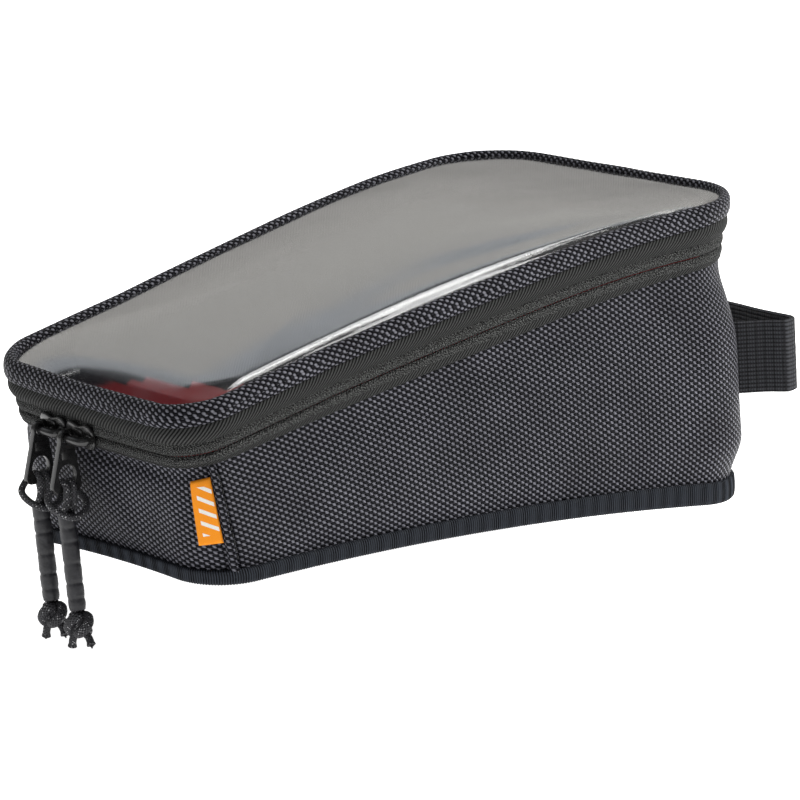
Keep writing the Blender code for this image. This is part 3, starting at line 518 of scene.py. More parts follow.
def make_materials():
    made = {}
    # In each weave the first colour is painted shade in the gaps, the third is painted lighter as sheen, and
    # the last is a painted highlight on the crowns.
    made["nylon"] = weave_material(
        "ballistic_nylon", 1.7, 1.07, ((0.001, 0.001, 0.0015), (0.009, 0.0095, 0.012),
                                       (0.070, 0.071, 0.084), (0.145, 0.145, 0.17)), slant=0.58)
    made["welt"] = weave_material(
        "welt_nylon", 1.5, 1.15, ((0.001, 0.001, 0.0015), (0.009, 0.009, 0.012),
                                  (0.060, 0.061, 0.072), (0.15, 0.15, 0.175)), slant=0.3, skew=0.35)

    shade = Shade("zip_tape_cloth")
    u, v = shade.uv()
    fine = shade.noise(shade.combine(u, v), 1.7, 2.0)
    twill = shade.wave(shade.math("MULTIPLY_ADD", v, 0.9, u), 1.5)
    chevron = shade.math("MULTIPLY", shade.wave(v, 1.7), 0.9)
    knit = shade.wave(shade.math("ADD", u, chevron), 1.15)
    knit = shade.math("MULTIPLY", knit, shade.math("MULTIPLY_ADD", fine, 1.5, -0.1))
    stitched = shade.near(v, 18.0, 3.8)
    twill = shade.math("MULTIPLY_ADD", fine, 0.3, shade.math("MULTIPLY", twill, 0.75))
    height = shade.mix(stitched, twill, knit)
    # Painted shade: the colour falls to near black in the hollows of the twill and knit relief and is lighter
    # on the raised threads.
    colour = shade.mix(shade.math("POWER", height, 2.4), (0.001, 0.001, 0.001), (0.070, 0.071, 0.070))
    speck = shade.noise(shade.combine(u, shade.math("MULTIPLY", v, 1.6)), 2.3, 1.0)
    flecks = shade.math("MULTIPLY", shade.ramp(speck, (0.54, 0.0), (0.60, 1.0)), stitched)
    colour = shade.mix(shade.math("MULTIPLY", flecks, 0.7), colour, (0.20, 0.205, 0.20))
    shade.set(Base_Color=colour, Roughness=0.7, Specular_IOR_Level=0.06)
    shade.bump(height, 0.35)
    made["tape"] = shade.material

    made["base_cloth"] = grainy_material("base_cloth", 1.6, 2.0, 0.006, 0.035, 0.3,
                                         Roughness=0.7, Specular_IOR_Level=0.2)
    made["foam"] = grainy_material("pad_foam", 1.6, 4.0, 0.03, 0.11, 0.5, Roughness=0.95)
    made["board"] = grainy_material("stiffener_board", 0.8, 4.0, 0.03, 0.07, 0.1, Roughness=0.55)
    made["thread"] = grainy_material("thread", 3.0, 2.0, 0.008, 0.035,
                                     Roughness=0.5, Specular_IOR_Level=0.3)
    made["coil"] = grainy_material("nylon_coil", 1.0, 2.0, 0.012, 0.03, Roughness=0.35)

    shade = Shade("grosgrain")
    u, v = shade.uv()
    ribs = shade.wave(u, 1.0)
    cross = shade.wave(v, 0.45)
    height = shade.math("MULTIPLY_ADD", cross, 0.25, ribs)
    # Painted shade: near black between the ribs and lighter on their tops.
    colour = shade.mix(shade.math("POWER", ribs, 2.0), (0.001, 0.001, 0.0015), (0.033, 0.038, 0.048))
    shade.set(Base_Color=colour, Roughness=0.65, Specular_IOR_Level=0.1)
    shade.bump(height, 0.2)
    made["binding"] = shade.material

    shade = Shade("gloss_black_metal")
    wear = shade.noise(shade.place(), 0.15, 2.0)
    shade.set(Base_Color=shade.ramp(wear, (0.3, 0.006), (0.75, 0.012)), Metallic=0.0, Specular_IOR_Level=0.6,
              Roughness=shade.ramp(wear, (0.3, 0.22), (0.8, 0.30)))
    made["black_metal"] = shade.material

    shade = Shade("coated_lining")
    spot = shade.place()
    cloth = shade.noise(spot, 2.5, 3.0)
    stain = shade.noise(spot, 0.05, 2.0)
    colour = shade.ramp(stain, (0.3, (0.20, 0.001, 0.003)), (0.7, (0.27, 0.002, 0.004)))
    # Painted glow: a faint red emission lights the lining where little light reaches it.
    shade.set(Base_Color=colour, Roughness=0.38, Coat_Weight=0.35, Coat_Roughness=0.2,
              Emission_Color=(1.0, 0.0, 0.01), Emission_Strength=0.07)
    shade.bump(cloth, 0.12)
    made["lining"] = shade.material

    shade = Shade("pocket_cloth")
    u, v = shade.uv()
    twill = shade.wave(shade.math("ADD", u, v), 1.3)
    # Painted shade: near black in the hollows of the twill and lighter on its ridges.
    colour = shade.mix(twill, (0.003, 0.003, 0.003), (0.022, 0.022, 0.024))
    shade.set(Base_Color=colour, Roughness=0.7, Specular_IOR_Level=0.2)
    shade.bump(twill, 0.2)
    made["pocket"] = shade.material

    shade = Shade("clear_vinyl")
    haze = shade.noise(shade.place(), 0.03, 3.0)
    shade.set(Base_Color=(0.93, 0.93, 0.92), Transmission_Weight=1.0, IOR=1.62,
              Roughness=shade.ramp(haze, (0.3, 0.05), (0.7, 0.09)))
    shade.bump(shade.noise(shade.place(), 0.04, 1.0), 0.06)
    made["window"] = shade.material

    shade = Shade("plated_magnet")
    grain = shade.noise(shade.place(), 1.2, 4.0)
    shade.set(Base_Color=(0.55, 0.55, 0.56), Metallic=1.0,
              Roughness=shade.ramp(grain, (0.3, 0.22), (0.7, 0.4)))
    made["magnet"] = shade.material

    shade = Shade("woven_label")
    u, v = shade.uv()
    twill = shade.wave(shade.math("ADD", u, v), 0.34)
    slant = shade.math("FLOORED_MODULO", shade.math("MULTIPLY_ADD", u, 0.55, v), 4.4)
    inside = shade.math("MULTIPLY", shade.near(u, 4.9, 2.7), shade.near(v, 12.0, 8.6))
    bars = shade.math("MULTIPLY", shade.math("LESS_THAN", slant, 1.5), inside)
    orange = shade.mix(twill, (0.82, 0.20, 0.003), (1.0, 0.36, 0.010))
    colour = shade.mix(bars, orange, shade.mix(twill, (0.72, 0.68, 0.62), (0.95, 0.93, 0.88)))
    shade.set(Base_Color=colour, Roughness=0.6, Specular_IOR_Level=0.25)
    shade.bump(shade.math("MULTIPLY_ADD", bars, 0.6, twill), 0.10)
    made["label"] = shade.material

    shade = Shade("braided_cord")
    u, v = shade.uv()
    left = shade.wave(shade.math("ADD", u, v), 1.2)
    right = shade.wave(shade.math("SUBTRACT", u, v), 1.2)
    height = shade.math("MAXIMUM", left, right)
    # Painted shade: near black in the hollows between the braided strands and lighter on their tops.
    colour = shade.mix(shade.math("POWER", height, 2.0), (0.001, 0.001, 0.001), (0.055, 0.055, 0.060))
    fleck = shade.math("MULTIPLY", shade.math("GREATER_THAN", shade.math("MULTIPLY", left, right), 0.66),
                       shade.math("GREATER_THAN", shade.noise(shade.place(), 0.8, 1.0), 0.6))
    colour = shade.mix(fleck, colour, (0.42, 0.42, 0.43))
    shade.set(Base_Color=colour, Roughness=0.6, Specular_IOR_Level=0.2)
    shade.bump(height, 0.28)
    made["cord"] = shade.material

    shade = Shade("heat_shrink")
    scuff = shade.noise(shade.place(), 0.5, 4.0)
    shade.set(Base_Color=shade.ramp(scuff, (0.3, (0.010, 0.010, 0.012)), (0.75, (0.026, 0.026, 0.030))),
              Roughness=shade.ramp(scuff, (0.3, 0.36), (0.7, 0.52)), Specular_IOR_Level=0.4)
    shade.bump(shade.noise(shade.place(), 1.4, 4.0), 0.12)
    made["sleeve"] = shade.material

    shade = Shade("loop_webbing")
    u, v = shade.uv()
    rows = shade.wave(v, 1.5)
    picks = shade.wave(shade.math("ADD", u, shade.math("MULTIPLY", rows, 0.4)), 1.0)
    height = shade.math("MULTIPLY", rows, shade.math("MULTIPLY_ADD", picks, 0.65, 0.35))
    # Painted shade: darker bands across the strap where it gathers, and near black in the hollows of its
    # weave.
    gather_shade = shade.wave(shade.math("MULTIPLY_ADD", shade.noise(shade.place(), 0.1, 1.0), 1.2, u), 3.4)
    colour = shade.mix(height, (0.003, 0.003, 0.004), (0.050, 0.052, 0.060))
    colour = shade.mix(1.0, colour, shade.ramp(gather_shade, (0.1, 0.45), (0.5, 1.0)), "MULTIPLY")
    shade.set(Base_Color=colour, Roughness=0.62, Specular_IOR_Level=0.2)
    shade.bump(height, 0.3)
    made["webbing"] = shade.material
    return made


MATERIALS = make_materials()

CAD_FINISHES = {
    "base_panel": "base_cloth", "base_foam": "foam", "base_board": "board", "lining_floor": "lining",
    "magnet_front_near": "magnet", "magnet_front_far": "magnet", "magnet_rear_near": "magnet",
    "magnet_rear_far": "magnet", "wall_foam": "foam", "lining_wall": "lining",
}


# ---------------------------------------------------------------- mesh builders

def finish_piece(obj, finish, body, stands_for=()):
    obj.data.materials.clear()
    obj.data.materials.append(MATERIALS[finish])
    if body:
        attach(obj, body)
    if stands_for:
        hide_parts(*stands_for)
    return obj


def mesh_object(name, verts, faces, uvs=None, sharp=40):
    """A smooth-shaded mesh from points in millimetres, with one UV pair per face corner."""
    mesh = bpy.data.meshes.new(name)
    mesh.from_pydata([Vector(p) * MM for p in verts], [], faces)
    if uvs:
        layer = mesh.uv_layers.new(name="UVMap")
        layer.data.foreach_set("uv", [x for pair in uvs for x in pair])
    mesh.shade_smooth()
    mesh.set_sharp_from_angle(angle=math.radians(sharp))
    obj = bpy.data.objects.new(name, mesh)
    bpy.context.scene.collection.objects.link(obj)
    return obj


def reshape(obj, change=None):
    """Turn a mesh's faces outward, and let a function change it."""
    shaped = bmesh.new()
    shaped.from_mesh(obj.data)
    bmesh.ops.recalc_face_normals(shaped, faces=shaped.faces)
    if change:
        change(shaped)
    shaped.to_mesh(obj.data)
    shaped.free()


def lengths(points):
    total, out = 0.0, [0.0]
    for a, b in zip(points, points[1:]):
        total += (b - a).length
        out.append(total)
    return out


def spot_on(marks, distance):
    """The piece of a path that a distance falls in, and the share of that piece."""
    place = min(max(0, bisect_left(marks, distance) - 1), len(marks) - 2)
    return place, (distance - marks[place]) / max(1e-6, marks[place + 1] - marks[place])


def loft(name, grid, closed_i=False, closed_j=False, caps=False, sharp=40, middle=None, outward=True,
         v_marks=None):
    """A surface through rows of points. u runs along the rows, v across them, both in millimetres."""
    rows, cols = len(grid), len(grid[0])
    middle = cols // 2 if middle is None else middle
    spine = [row[middle] for row in grid]
    us = lengths(spine + spine[:1] if closed_i else spine)
    vs = [v_marks or lengths(row + row[:1] if closed_j else row) for row in grid]
    verts = [p for row in grid for p in row]
    faces, uvs = [], []
    for i in range(rows if closed_i else rows - 1):
        for j in range(cols if closed_j else cols - 1):
            corners = ((i, j), (i + 1, j), (i + 1, j + 1), (i, j + 1))
            if not outward:
                corners = corners[::-1]
            faces.append([(a % rows) * cols + b % cols for a, b in corners])
            uvs += [(us[a], vs[a % rows][b]) for a, b in corners]
    if caps and not closed_i:
        for i, order in ((0, range(cols)), (rows - 1, reversed(range(cols)))):
            order = list(order)
            if not outward:
                order.reverse()
            faces.append([i * cols + j for j in order])
            uvs += [(us[i], vs[i][j]) for j in order]
    return mesh_object(name, verts, faces, uvs, sharp)


def tube(name, points, radius, sides=10, caps=True):
    """A round tube along points, without twist. radius may be a number or a function of the share."""
    points = [Vector(p) for p in points]
    count = len(points)
    size = radius if callable(radius) else (lambda share: radius)
    tangents = [(points[min(k + 1, count - 1)] - points[max(k - 1, 0)]).normalized() for k in range(count)]
    across = tangents[0].orthogonal().normalized()
    grid = []
    for k, (point, tangent) in enumerate(zip(points, tangents)):
        across = (across - tangent * across.dot(tangent)).normalized()
        beside = tangent.cross(across)
        here = size(k / (count - 1))
        grid.append([point + (across * math.cos(a) + beside * math.sin(a)) * here
                     for a in (2 * math.pi * s / sides for s in range(sides))])
    return loft(name, grid, closed_j=True, caps=caps, sharp=60, middle=0, outward=False)


def join(name, parts):
    """Join pieces into the first one."""
    verts, faces, uvs = [], [], []
    for part in parts:
        first = len(verts)
        verts += [v.co / MM for v in part.data.vertices]
        faces += [[first + i for i in p.vertices] for p in part.data.polygons]
        layer = part.data.uv_layers[0].data
        uvs += [tuple(layer[i].uv) for p in part.data.polygons for i in p.loop_indices]
        mesh = part.data
        bpy.data.objects.remove(part, do_unlink=True)
        bpy.data.meshes.remove(mesh)
    return mesh_object(name, verts, faces, uvs, 50)


def smooth_path(points, steps):
    """A Catmull-Rom curve through points."""
    points = [Vector(p) for p in points]
    ends = [points[0] * 2 - points[1]] + points + [points[-1] * 2 - points[-2]]
    out = []
    for k in range(1, len(ends) - 2):
        p0, p1, p2, p3 = ends[k - 1:k + 3]
        for s in range(steps):
            t = s / steps
            out.append(0.5 * (2 * p1 + (p2 - p0) * t + (2 * p0 - 5 * p1 + 4 * p2 - p3) * t ** 2
                              + (3 * p1 - p0 - 3 * p2 + p3) * t ** 3))
    out.append(points[-1])
    return out


# A stitch's cross-sections: share of its length, height over the cloth and share of its radius.
STITCH_SECTIONS = ((0.0, -0.25, 0.5), (0.15, 0.12, 0.9), (0.5, 0.24, 1.0), (0.85, 0.12, 0.9),
                   (1.0, -0.25, 0.5))


def stitches(name, path, normals, pitch=2.6, length=1.9, radius=0.28):
    """A row of small thread bars along a path, each dipping into the cloth at its ends."""
    marks = lengths(path)
    total = marks[-1]
    verts, faces = [], []
    start = pitch * 0.5

    def at(line, distance):
        place, share = spot_on(marks, distance)
        return line[place].lerp(line[place + 1], share)

    while start + length < total:
        rings = []
        for share, lift, size in STITCH_SECTIONS:
            here = start + length * share
            point, normal = at(path, here), at(normals, here)
            tangent = (at(path, min(total, here + 0.2)) - at(path, max(0.0, here - 0.2))).normalized()
            side = tangent.cross(normal).normalized()
            centre = point + normal * lift
            rings.append([centre + (side * math.cos(a) + normal * math.sin(a)) * radius * size
                          for a in (math.pi * 2 * s / 6 for s in range(6))])
        first = len(verts)
        verts += [p for ring in rings for p in ring]
        for i in range(4):
            for j in range(6):
                a, b = first + i * 6, first + (i + 1) * 6
                faces.append([a + j, b + j, b + (j + 1) % 6, a + (j + 1) % 6])
        faces.append([first + j for j in range(6)])
        faces.append([first + 24 + j for j in reversed(range(6))])
        start += pitch
    uvs = [(0.0, 0.0)] * sum(len(f) for f in faces)
    obj = mesh_object(name, verts, faces, uvs, 60)
    reshape(obj)
    return obj


# ---------------------------------------------------------------- pull cords, first

def zip_run_point(x, behind=0.0, depth=ZIP_CENTRE):
    """The point of the front zip run at a given X, on the CAD's own straight facets."""
    start = (RING - FRONT_STEPS) // FINER
    for i in range(start - 2, RING // FINER + 2):
        a, b = zip_point(i * FINER, behind, depth), zip_point((i + 1) * FINER, behind, depth)
        if a.x <= x <= b.x:
            return a.lerp(b, (x - a.x) / (b.x - a.x))
    return zip_point(RING, behind, depth)


def slider_frame(x):
    here = zip_run_point(x)
    along = (zip_run_point(x + 4.0) - zip_run_point(x - 4.0)).normalized()
    up = zip_run_point(x, depth=ZIP_CENTRE - 4.0) - zip_run_point(x, depth=ZIP_CENTRE + 4.0)
    up = (up - along * up.dot(along)).normalized()
    return here, along, along.cross(up).normalized(), up


def bail_point(side):
    here, along, outward, _ = slider_frame(SLIDER_X[side])
    return here + along * (PULLER_X[side] - SLIDER_X[side]) + outward * BAIL_STANDOFF


SLEEVE_RADIUS, SLEEVE_BORE = 3.2, 2.75
# Creases round the sleeve: share of its length, width and depth. The first and last turn its ends in.
SLEEVE_CREASES = ((0.0, 0.03, 0.35), (0.16, 0.02, 0.30), (0.30, 0.016, 0.30), (0.52, 0.02, 0.21),
                  (0.72, 0.018, 0.30), (0.88, 0.02, 0.24), (1.0, 0.03, 0.35))
STRAND_APART, KNOT_CORD = 1.375, 1.75


def build_pull(side):
    """The doubled cord through the puller's eye, its shrink sleeve and its knot."""
    body = side + "_pull"
    swing = bail_point(side) + Vector((0, 0, -CORD_HOLE_DROP))
    sleeve_top = -PULLER_LENGTH + CORD_HOLE_DROP - SLEEVE_DROP
    knot_top = sleeve_top - SLEEVE_LENGTH - 0.4
    root = Vector((0, 0, sleeve_top))
    lean = Matrix.Rotation(-PULL_LEAN, 3, "Y")

    def leaned(x, y, z):
        return swing + root + lean @ Vector((x, y, z - sleeve_top))

    # The cord goes through the hole and its bight comes back round the puller's foot, over both strands.
    bight = [(2.3, 1.45, -5.0), (2.1, 1.45, -3.4), (0.9, 1.5, -2.3), (-0.9, 1.7, -2.3), (-2.2, 2.6, -3.6),
             (-2.3, 4.8, -5.6), (-1.2, 6.8, -7.6), (1.2, 7.3, -9.4), (3.6, 5.6, -11.6), (4.7, 2.9, -13.0),
             (4.9, 0.0, -13.5)]
    bight += [(x, -y, z) for x, y, z in reversed(bight[:-1])]
    loop = tube("cord_loop_" + side, [swing + p for p in smooth_path(bight, 5)], CORD / 2, 12)
    finish_piece(loop, "cord", body, ["pull_cord_" + side])

    # The sleeve: rings down its creased outside, then its bore.
    circle = [(math.cos(a), math.sin(a)) for a in (2 * math.pi * s / 36 for s in range(36))]
    sleeve_grid = []
    for k in range(69):
        share = k / 68
        z = -SLEEVE_LENGTH * k / 68
        creases = sum(depth * bump_at(share, place, width) for place, width, depth in SLEEVE_CREASES)
        ring = SLEEVE_RADIUS - creases
        points = []
        for s, (c, d) in enumerate(circle):
            flat = 1.0 + 0.05 * math.cos(2 * (2 * math.pi * s / 36) + 0.4)
            wrinkle = 0.10 * noise.noise(Vector((c * 1.6, d * 1.6, z * 0.45 + PULLER_X[side])))
            radius = ring * flat + wrinkle
            points.append(swing + root + lean @ Vector((radius * c, 0.94 * radius * d, z)))
        sleeve_grid.append(points)
    for k in (68, 60, 8, 0):
        z = -SLEEVE_LENGTH * k / 68
        sleeve_grid.append([swing + root + lean @ Vector((SLEEVE_BORE * c, SLEEVE_BORE * d, z))
                            for c, d in circle])
    sleeve = loft("shrink_sleeve_" + side, sleeve_grid, closed_i=True, closed_j=True, sharp=50, middle=0)
    finish_piece(sleeve, "sleeve", body, ["pull_sleeve_" + side])

    # An overhand knot in the doubled cord, and the two cut ends that stick out of it.
    def knotted(p):
        return leaned(p.x, p.y, knot_top + p.z)

    turns = []
    for a in (2 * math.pi * k / 72 for k in range(72)):
        turns.append(Vector(((2.05 + 1.25 * math.cos(3 * a)) * math.cos(2 * a) * 1.4,
                             (1.55 + 0.95 * math.cos(3 * a)) * math.sin(2 * a) * 1.3,
                             (-4.3 + 2.5 * math.sin(3 * a)) * 1.08)))
    parts = [tube("turns", [knotted(p) for p in turns + turns[:1]], KNOT_CORD, 10)]
    for sign, reach in ((1, 0.0), (-1, 0.7)):
        tail = smooth_path([(sign * 1.2, 0.2 * sign, -6.6), (sign * 3.0, 1.0 * sign, -9.2),
                            (sign * 4.3, 0.8 * sign, -11.6 - reach * 0.6)], 6)
        parts.append(tube("tail", [knotted(p) for p in tail],
                          lambda share: 1.35 + 0.3 * smooth(0.8, 1.0, share), 10))
        for k in range(14):
            a = 2.4 * k
            spread_at = 0.25 + 0.85 * ((k * 37) % 14) / 14
            tip = tail[-1] + Vector((sign * 0.3 + 0.5 * spread_at * math.cos(a),
                                     0.5 * spread_at * math.sin(a), -0.6 - 0.3 * (k % 3)))
            foot = tail[-1] + Vector((0.9 * spread_at * math.cos(a), 0.9 * spread_at * math.sin(a), 0.3))
            hair = [knotted(p) for p in (foot, foot.lerp(tip, 0.5), tip)]
            parts.append(tube("hair", hair, 0.11, 5))
    knot = join("knot_" + side, parts)
    finish_piece(knot, "cord", body, ["pull_knot_" + side])

    for sign, word in ((1, "a"), (-1, "b")):
        route = [swing + Vector(p) for p in ((2.3, sign * 1.45, -4.8), (2.3, sign * 1.45, -7.4),
                                             (2.0, sign * 1.42, -9.6), (1.1, sign * STRAND_APART, -11.6))]
        route += [leaned(0, sign * STRAND_APART, sleeve_top - 0.6 - 4.0 * k) for k in range(9)]
        route.append(leaned(0, sign * STRAND_APART, knot_top - 1.2))
        line = smooth_path(route, 3)
        cord = tube("pull_strand_%s_%s" % (side, word), line, CORD / 2, 12)
        finish_piece(cord, "cord", body, ())
        long = lengths(line)[-1] * MM


for pull_side in ("right", "left"):
    build_pull(pull_side)


# ---------------------------------------------------------------- walls

def wall_bulge(t, up):
    """How far the padded cloth stands out of the straight wall, with its folds."""
    outward = ring_normal(t)
    turn = t % RING
    rear_corner = max(bump_at(turn, 62, 12), bump_at(turn, 106, 12))
    side = max(bump_at(turn, 36, 20), bump_at(turn, 132, 20))
    front = bump_at((turn + 12) % RING, 0, 14) + bump_at((turn + 12) % RING, RING, 14)
    full = 4.4 * rear_corner + 1.5 * side * (1 - rear_corner) + 0.8 * front + 0.5
    if 74 < turn < 94:
        full *= 0.3
    rise = smooth(0.04, 0.24, up) * (1 - 0.9 * smooth(0.62, 1.0, up))
    fold = -1.6 * bump_at(up, 0.93, 0.07) * (0.35 + 0.65 * front)
    spot = wall_point(t, 0.0, up)
    creases = 0.55 * ripple((spot.x, spot.y, spot.z * 0.8), 26.0, 3.1) * smooth(0.05, 0.25, up)
    creases += 0.5 * front * math.sin(0.16 * spot.x + 0.11 * spot.z) * smooth(0.1, 0.4, up)
    creases *= 1 - smooth(0.9, 1.0, up)
    return outward, full * rise + fold * smooth(1.08, 0.98, up) + creases


def wall_shape(t, behind, up, extra=0.0):
    outward, bulge = wall_bulge(t, up)
    return wall_point(t, behind, up) + outward * (bulge + extra)


def wall_piece(name, stations, finish, stands_for):
    """A lofted skin: stations are (outline index, extra thickness) pairs."""
    outer = [k / 33 * (1 + TUCK) for k in range(34)]
    inner = [1 + TUCK, 0.9, 0.7, 0.5, 0.3, 0.12, 0.0]
    grid = []
    for t, extra in stations:
        row = [wall_shape(t, 0.0, up, extra * (1 - smooth(0.97, 1.04, up))) for up in outer]
        row += [wall_shape(t, SHELL, up, min(0.0, extra)) for up in inner]
        grid.append(row)
    piece = loft(name, grid, closed_j=True, caps=True, sharp=55, middle=12)
    return finish_piece(piece, finish, "bag", [stands_for])


def hem(distance):
    """Thickness of the wrap's folded edge, its stitch groove and the cloth beyond, by outline steps."""
    fold = 1.7 * smooth(-0.05, 0.35, distance) * (1 - smooth(1.75, 2.15, distance))
    groove = -0.35 * bump_at(distance, 2.3, 0.28)
    return fold + groove + 0.25 * bump_at(distance, 3.2, 0.6)


HEM_STEPS = [0.0, 0.12, 0.3, 0.6, 1.0, 1.4, 1.7, 1.9, 2.1, 2.3, 2.5, 2.7, 3.0, 3.4, 3.8]
near_edge, far_edge = NEAR_SEAM + 1.6, FAR_SEAM - 1.6
wrap_stations = [(near_edge + d, hem(d)) for d in HEM_STEPS]
wrap_stations += [(float(t), 0.0) for t in range(math.ceil(near_edge + 4), math.floor(far_edge - 4) + 1)]
wrap_stations += [(far_edge - d, hem(d)) for d in reversed(HEM_STEPS)]
shell_skin = wall_piece("shell_skin", wrap_stations, "nylon", "shell_wrap")
front_stations = [(far_edge - 1.2 + k * 0.5, -0.5 * (1 - smooth(1.2, 3.2, k * 0.5))) for k in range(8)]
front_stations += [(float(t), 0.0) for t in range(FAR_SEAM + 1, RING + NEAR_SEAM)]
front_stations += [(RING + near_edge + 1.2 - k * 0.5, -0.5 * (1 - smooth(1.2, 3.2, k * 0.5)))
                   for k in reversed(range(8))]
front_skin = wall_piece("front_skin", front_stations, "nylon", "front_panel")

for word, edge, sign in (("near", near_edge, 1), ("far", far_edge, -1)):
    heights = [0.12 + 0.84 * k / 40 for k in range(41)]
    seam_path = [wall_shape(edge + sign * 2.3, 0.0, up, -0.15) for up in heights]
    seam_out = [ring_normal(edge + sign * 2.3)] * len(heights)
    finish_piece(stitches("seam_stitches_" + word, seam_path, seam_out), "thread", "bag", ())


# ---------------------------------------------------------------- ribbed binding round the base

def binding_section(t, ridge):
    foot = wall_shape(t, -BINDING - GAP, 0.0)
    lip = between(base_outline(BINDING_LIP), t)
    low = underside(foot.x, foot.y) - BINDING - GAP + 0.25
    outward = ring_normal(t)
    top = BINDING_HEIGHT
    section = [wall_shape(t, -0.1, top * 1.08), wall_shape(t, -0.9, top * 1.12, ridge),
               wall_shape(t, -1.5, top * 1.02, ridge), wall_shape(t, -1.7, top * 0.75, ridge),
               wall_shape(t, -1.75, top * 0.45, ridge), wall_shape(t, -1.7, top * 0.2, ridge)]
    heel = Vector((foot.x, foot.y, low))
    section += [heel + Vector((0, 0, 1.9)) + outward * (0.25 + ridge),
                heel + Vector((0, 0, 1.0)) + outward * (0.1 + ridge),
                heel + Vector((0, 0, 0.35)) - outward * (0.3 - ridge),
                heel - outward * 0.9 - Vector((0, 0, ridge))]
    for share in (0.45, 0.75):
        flat = Vector((foot.x, foot.y)).lerp(lip, share)
        section.append(Vector((flat.x, flat.y, underside(flat.x, flat.y) - BINDING - GAP + 0.25 - ridge)))
    lip_low = underside(lip.x, lip.y) - BINDING - GAP
    inner = Vector((lip.x, lip.y, lip_low + BINDING))
    return section + [Vector((lip.x, lip.y, lip_low + 0.35 - ridge)), inner,
                      heel.lerp(inner, 0.2) + Vector((0, 0, 0.9))]


def even_indices(path_at, step):
    """Outline indices an even distance apart round a path, in millimetres."""
    marks = lengths([path_at(t) for t in range(RING + 1)])
    count = round(marks[-1] / step)
    return [sum(spot_on(marks, marks[-1] * k / count)) for k in range(count)]


RIB_PITCH, RIB_PROFILE = 1.05, (0.0, 0.13, 0.0, -0.13)
rib_steps = even_indices(lambda t: wall_point(t, -BINDING, 0.05), RIB_PITCH / 4)
binding_grid = [binding_section(t, RIB_PROFILE[k % 4]) for k, t in enumerate(rib_steps)]
binding = loft("base_binding_ribbed", binding_grid, closed_i=True, closed_j=True, sharp=75, middle=4,
               outward=False)
finish_piece(binding, "binding", "bag", ["base_binding"])


# ---------------------------------------------------------------- zip tapes, coils and hinge

def tape_bulge(depth):
    """How far the folded tape stands out at a depth below the rim: a puffed twill band under the welt,
    a notch, and a low roll on each side of the slit."""
    twill = 1.5 * math.sin(math.pi * min(1.0, max(0.0, (depth - 7.0) / 6.9))) ** 0.8
    notch = -0.45 * bump_at(depth, 14.2, 0.6)
    return twill + notch + 0.35 * (bump_at(depth, 16.4, 1.3) + bump_at(depth, 20.3, 1.2))


def tape_row(t, depths, slit, hem_at):
    """One section of a tape: the outer face down the depths and the inner face back up."""
    row = []
    for depth in depths:
        edge = smooth(0.9, 0.0, abs(depth - slit)) if slit else 0.0
        last = smooth(0.8, 0.0, abs(depth - hem_at)) if hem_at else 0.0
        row.append(zip_point(t, -tape_bulge(depth) + 0.75 * edge + 0.45 * last, depth))
    row += [zip_point(t, TAPE - tape_bulge(depth) * 0.6 + 0.15, depth) for depth in reversed(depths[::3])]
    return row


def tape_piece(name, depths, slit, hem_at, body, stands_for, steps, blend=None):
    grid = [tape_row(t, depths, slit, hem_at) for t in steps]
    marks = list(depths) + list(reversed(depths[::3])) + [depths[0]]
    piece = loft(name, grid, closed_j=True, caps=True, sharp=60, middle=2, v_marks=marks, outward=False)
    return finish_piece(piece, "tape", body, stands_for)


zip_steps = [REAR_END + 0.1 + (RING + REAR_START - REAR_END - 0.2) * k / 336 for k in range(337)]
SLIT_LOW, SLIT_HIGH = ZIP_CENTRE + 0.12, ZIP_CENTRE - 0.12
upper_depths = [7.2 + (SLIT_HIGH - 7.2) * k / 30 for k in range(31)]
lower_depths = [SLIT_LOW + (TAPE_BOTTOM - SLIT_LOW) * k / 22 for k in range(23)]
tape_piece("zip_band_upper", upper_depths, SLIT_HIGH, None, "lid", ["zip_tape_upper"], zip_steps)
tape_piece("zip_band_lower", lower_depths, SLIT_LOW, TAPE_BOTTOM, "bag", ["zip_tape_lower"], zip_steps)

hinge_steps = [REAR_START - 0.1 + (REAR_END - REAR_START + 0.2) * k / 48 for k in range(49)]
hinge_depths = [7.2 + (TAPE_BOTTOM - 7.2) * k / 42 for k in range(43)]
hinge = tape_piece("hinge_cloth", hinge_depths, None, TAPE_BOTTOM, None,
                   ["hinge_strip_lower", "hinge_strip_upper"], hinge_steps)
tuple(zip_point(84, 0, ZIP_CENTRE + 4.0) * MM)
tuple(zip_point(84, 0, ZIP_CENTRE - 4.0) * MM)
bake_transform(hinge)


COIL_PITCH, COIL_SIDES = 1.35, 9


def build_coil(name, centre_depth, body, stands_for, phase):
    path = [zip_point(t, TAPE + GAP + COIL / 2, centre_depth) for t in range(REAR_END + 1, RING + REAR_START)]
    marks = lengths(path)
    count = int(marks[-1] / COIL_PITCH * COIL_SIDES)
    points = []
    for k in range(count):
        place, share = spot_on(marks, marks[-1] * k / count)
        here = path[place].lerp(path[place + 1], share)
        along = (path[place + 1] - path[place]).normalized()
        outward = along.cross(Vector((0, 0, 1))).normalized()
        angle = 2 * math.pi * k / COIL_SIDES + phase
        points.append(here + outward * 0.75 * math.cos(angle) + along.cross(outward) * 0.9 * math.sin(angle))
    finish_piece(tube(name, points, 0.3, 5), "coil", body, stands_for)


build_coil("coil_teeth_upper", ZIP_CENTRE - 0.8 - 1.0, "lid", ["zip_coil_upper"], 0.0)
build_coil("coil_teeth_lower", ZIP_CENTRE + 0.8 + 1.0, "bag", ["zip_coil_lower"], math.pi)


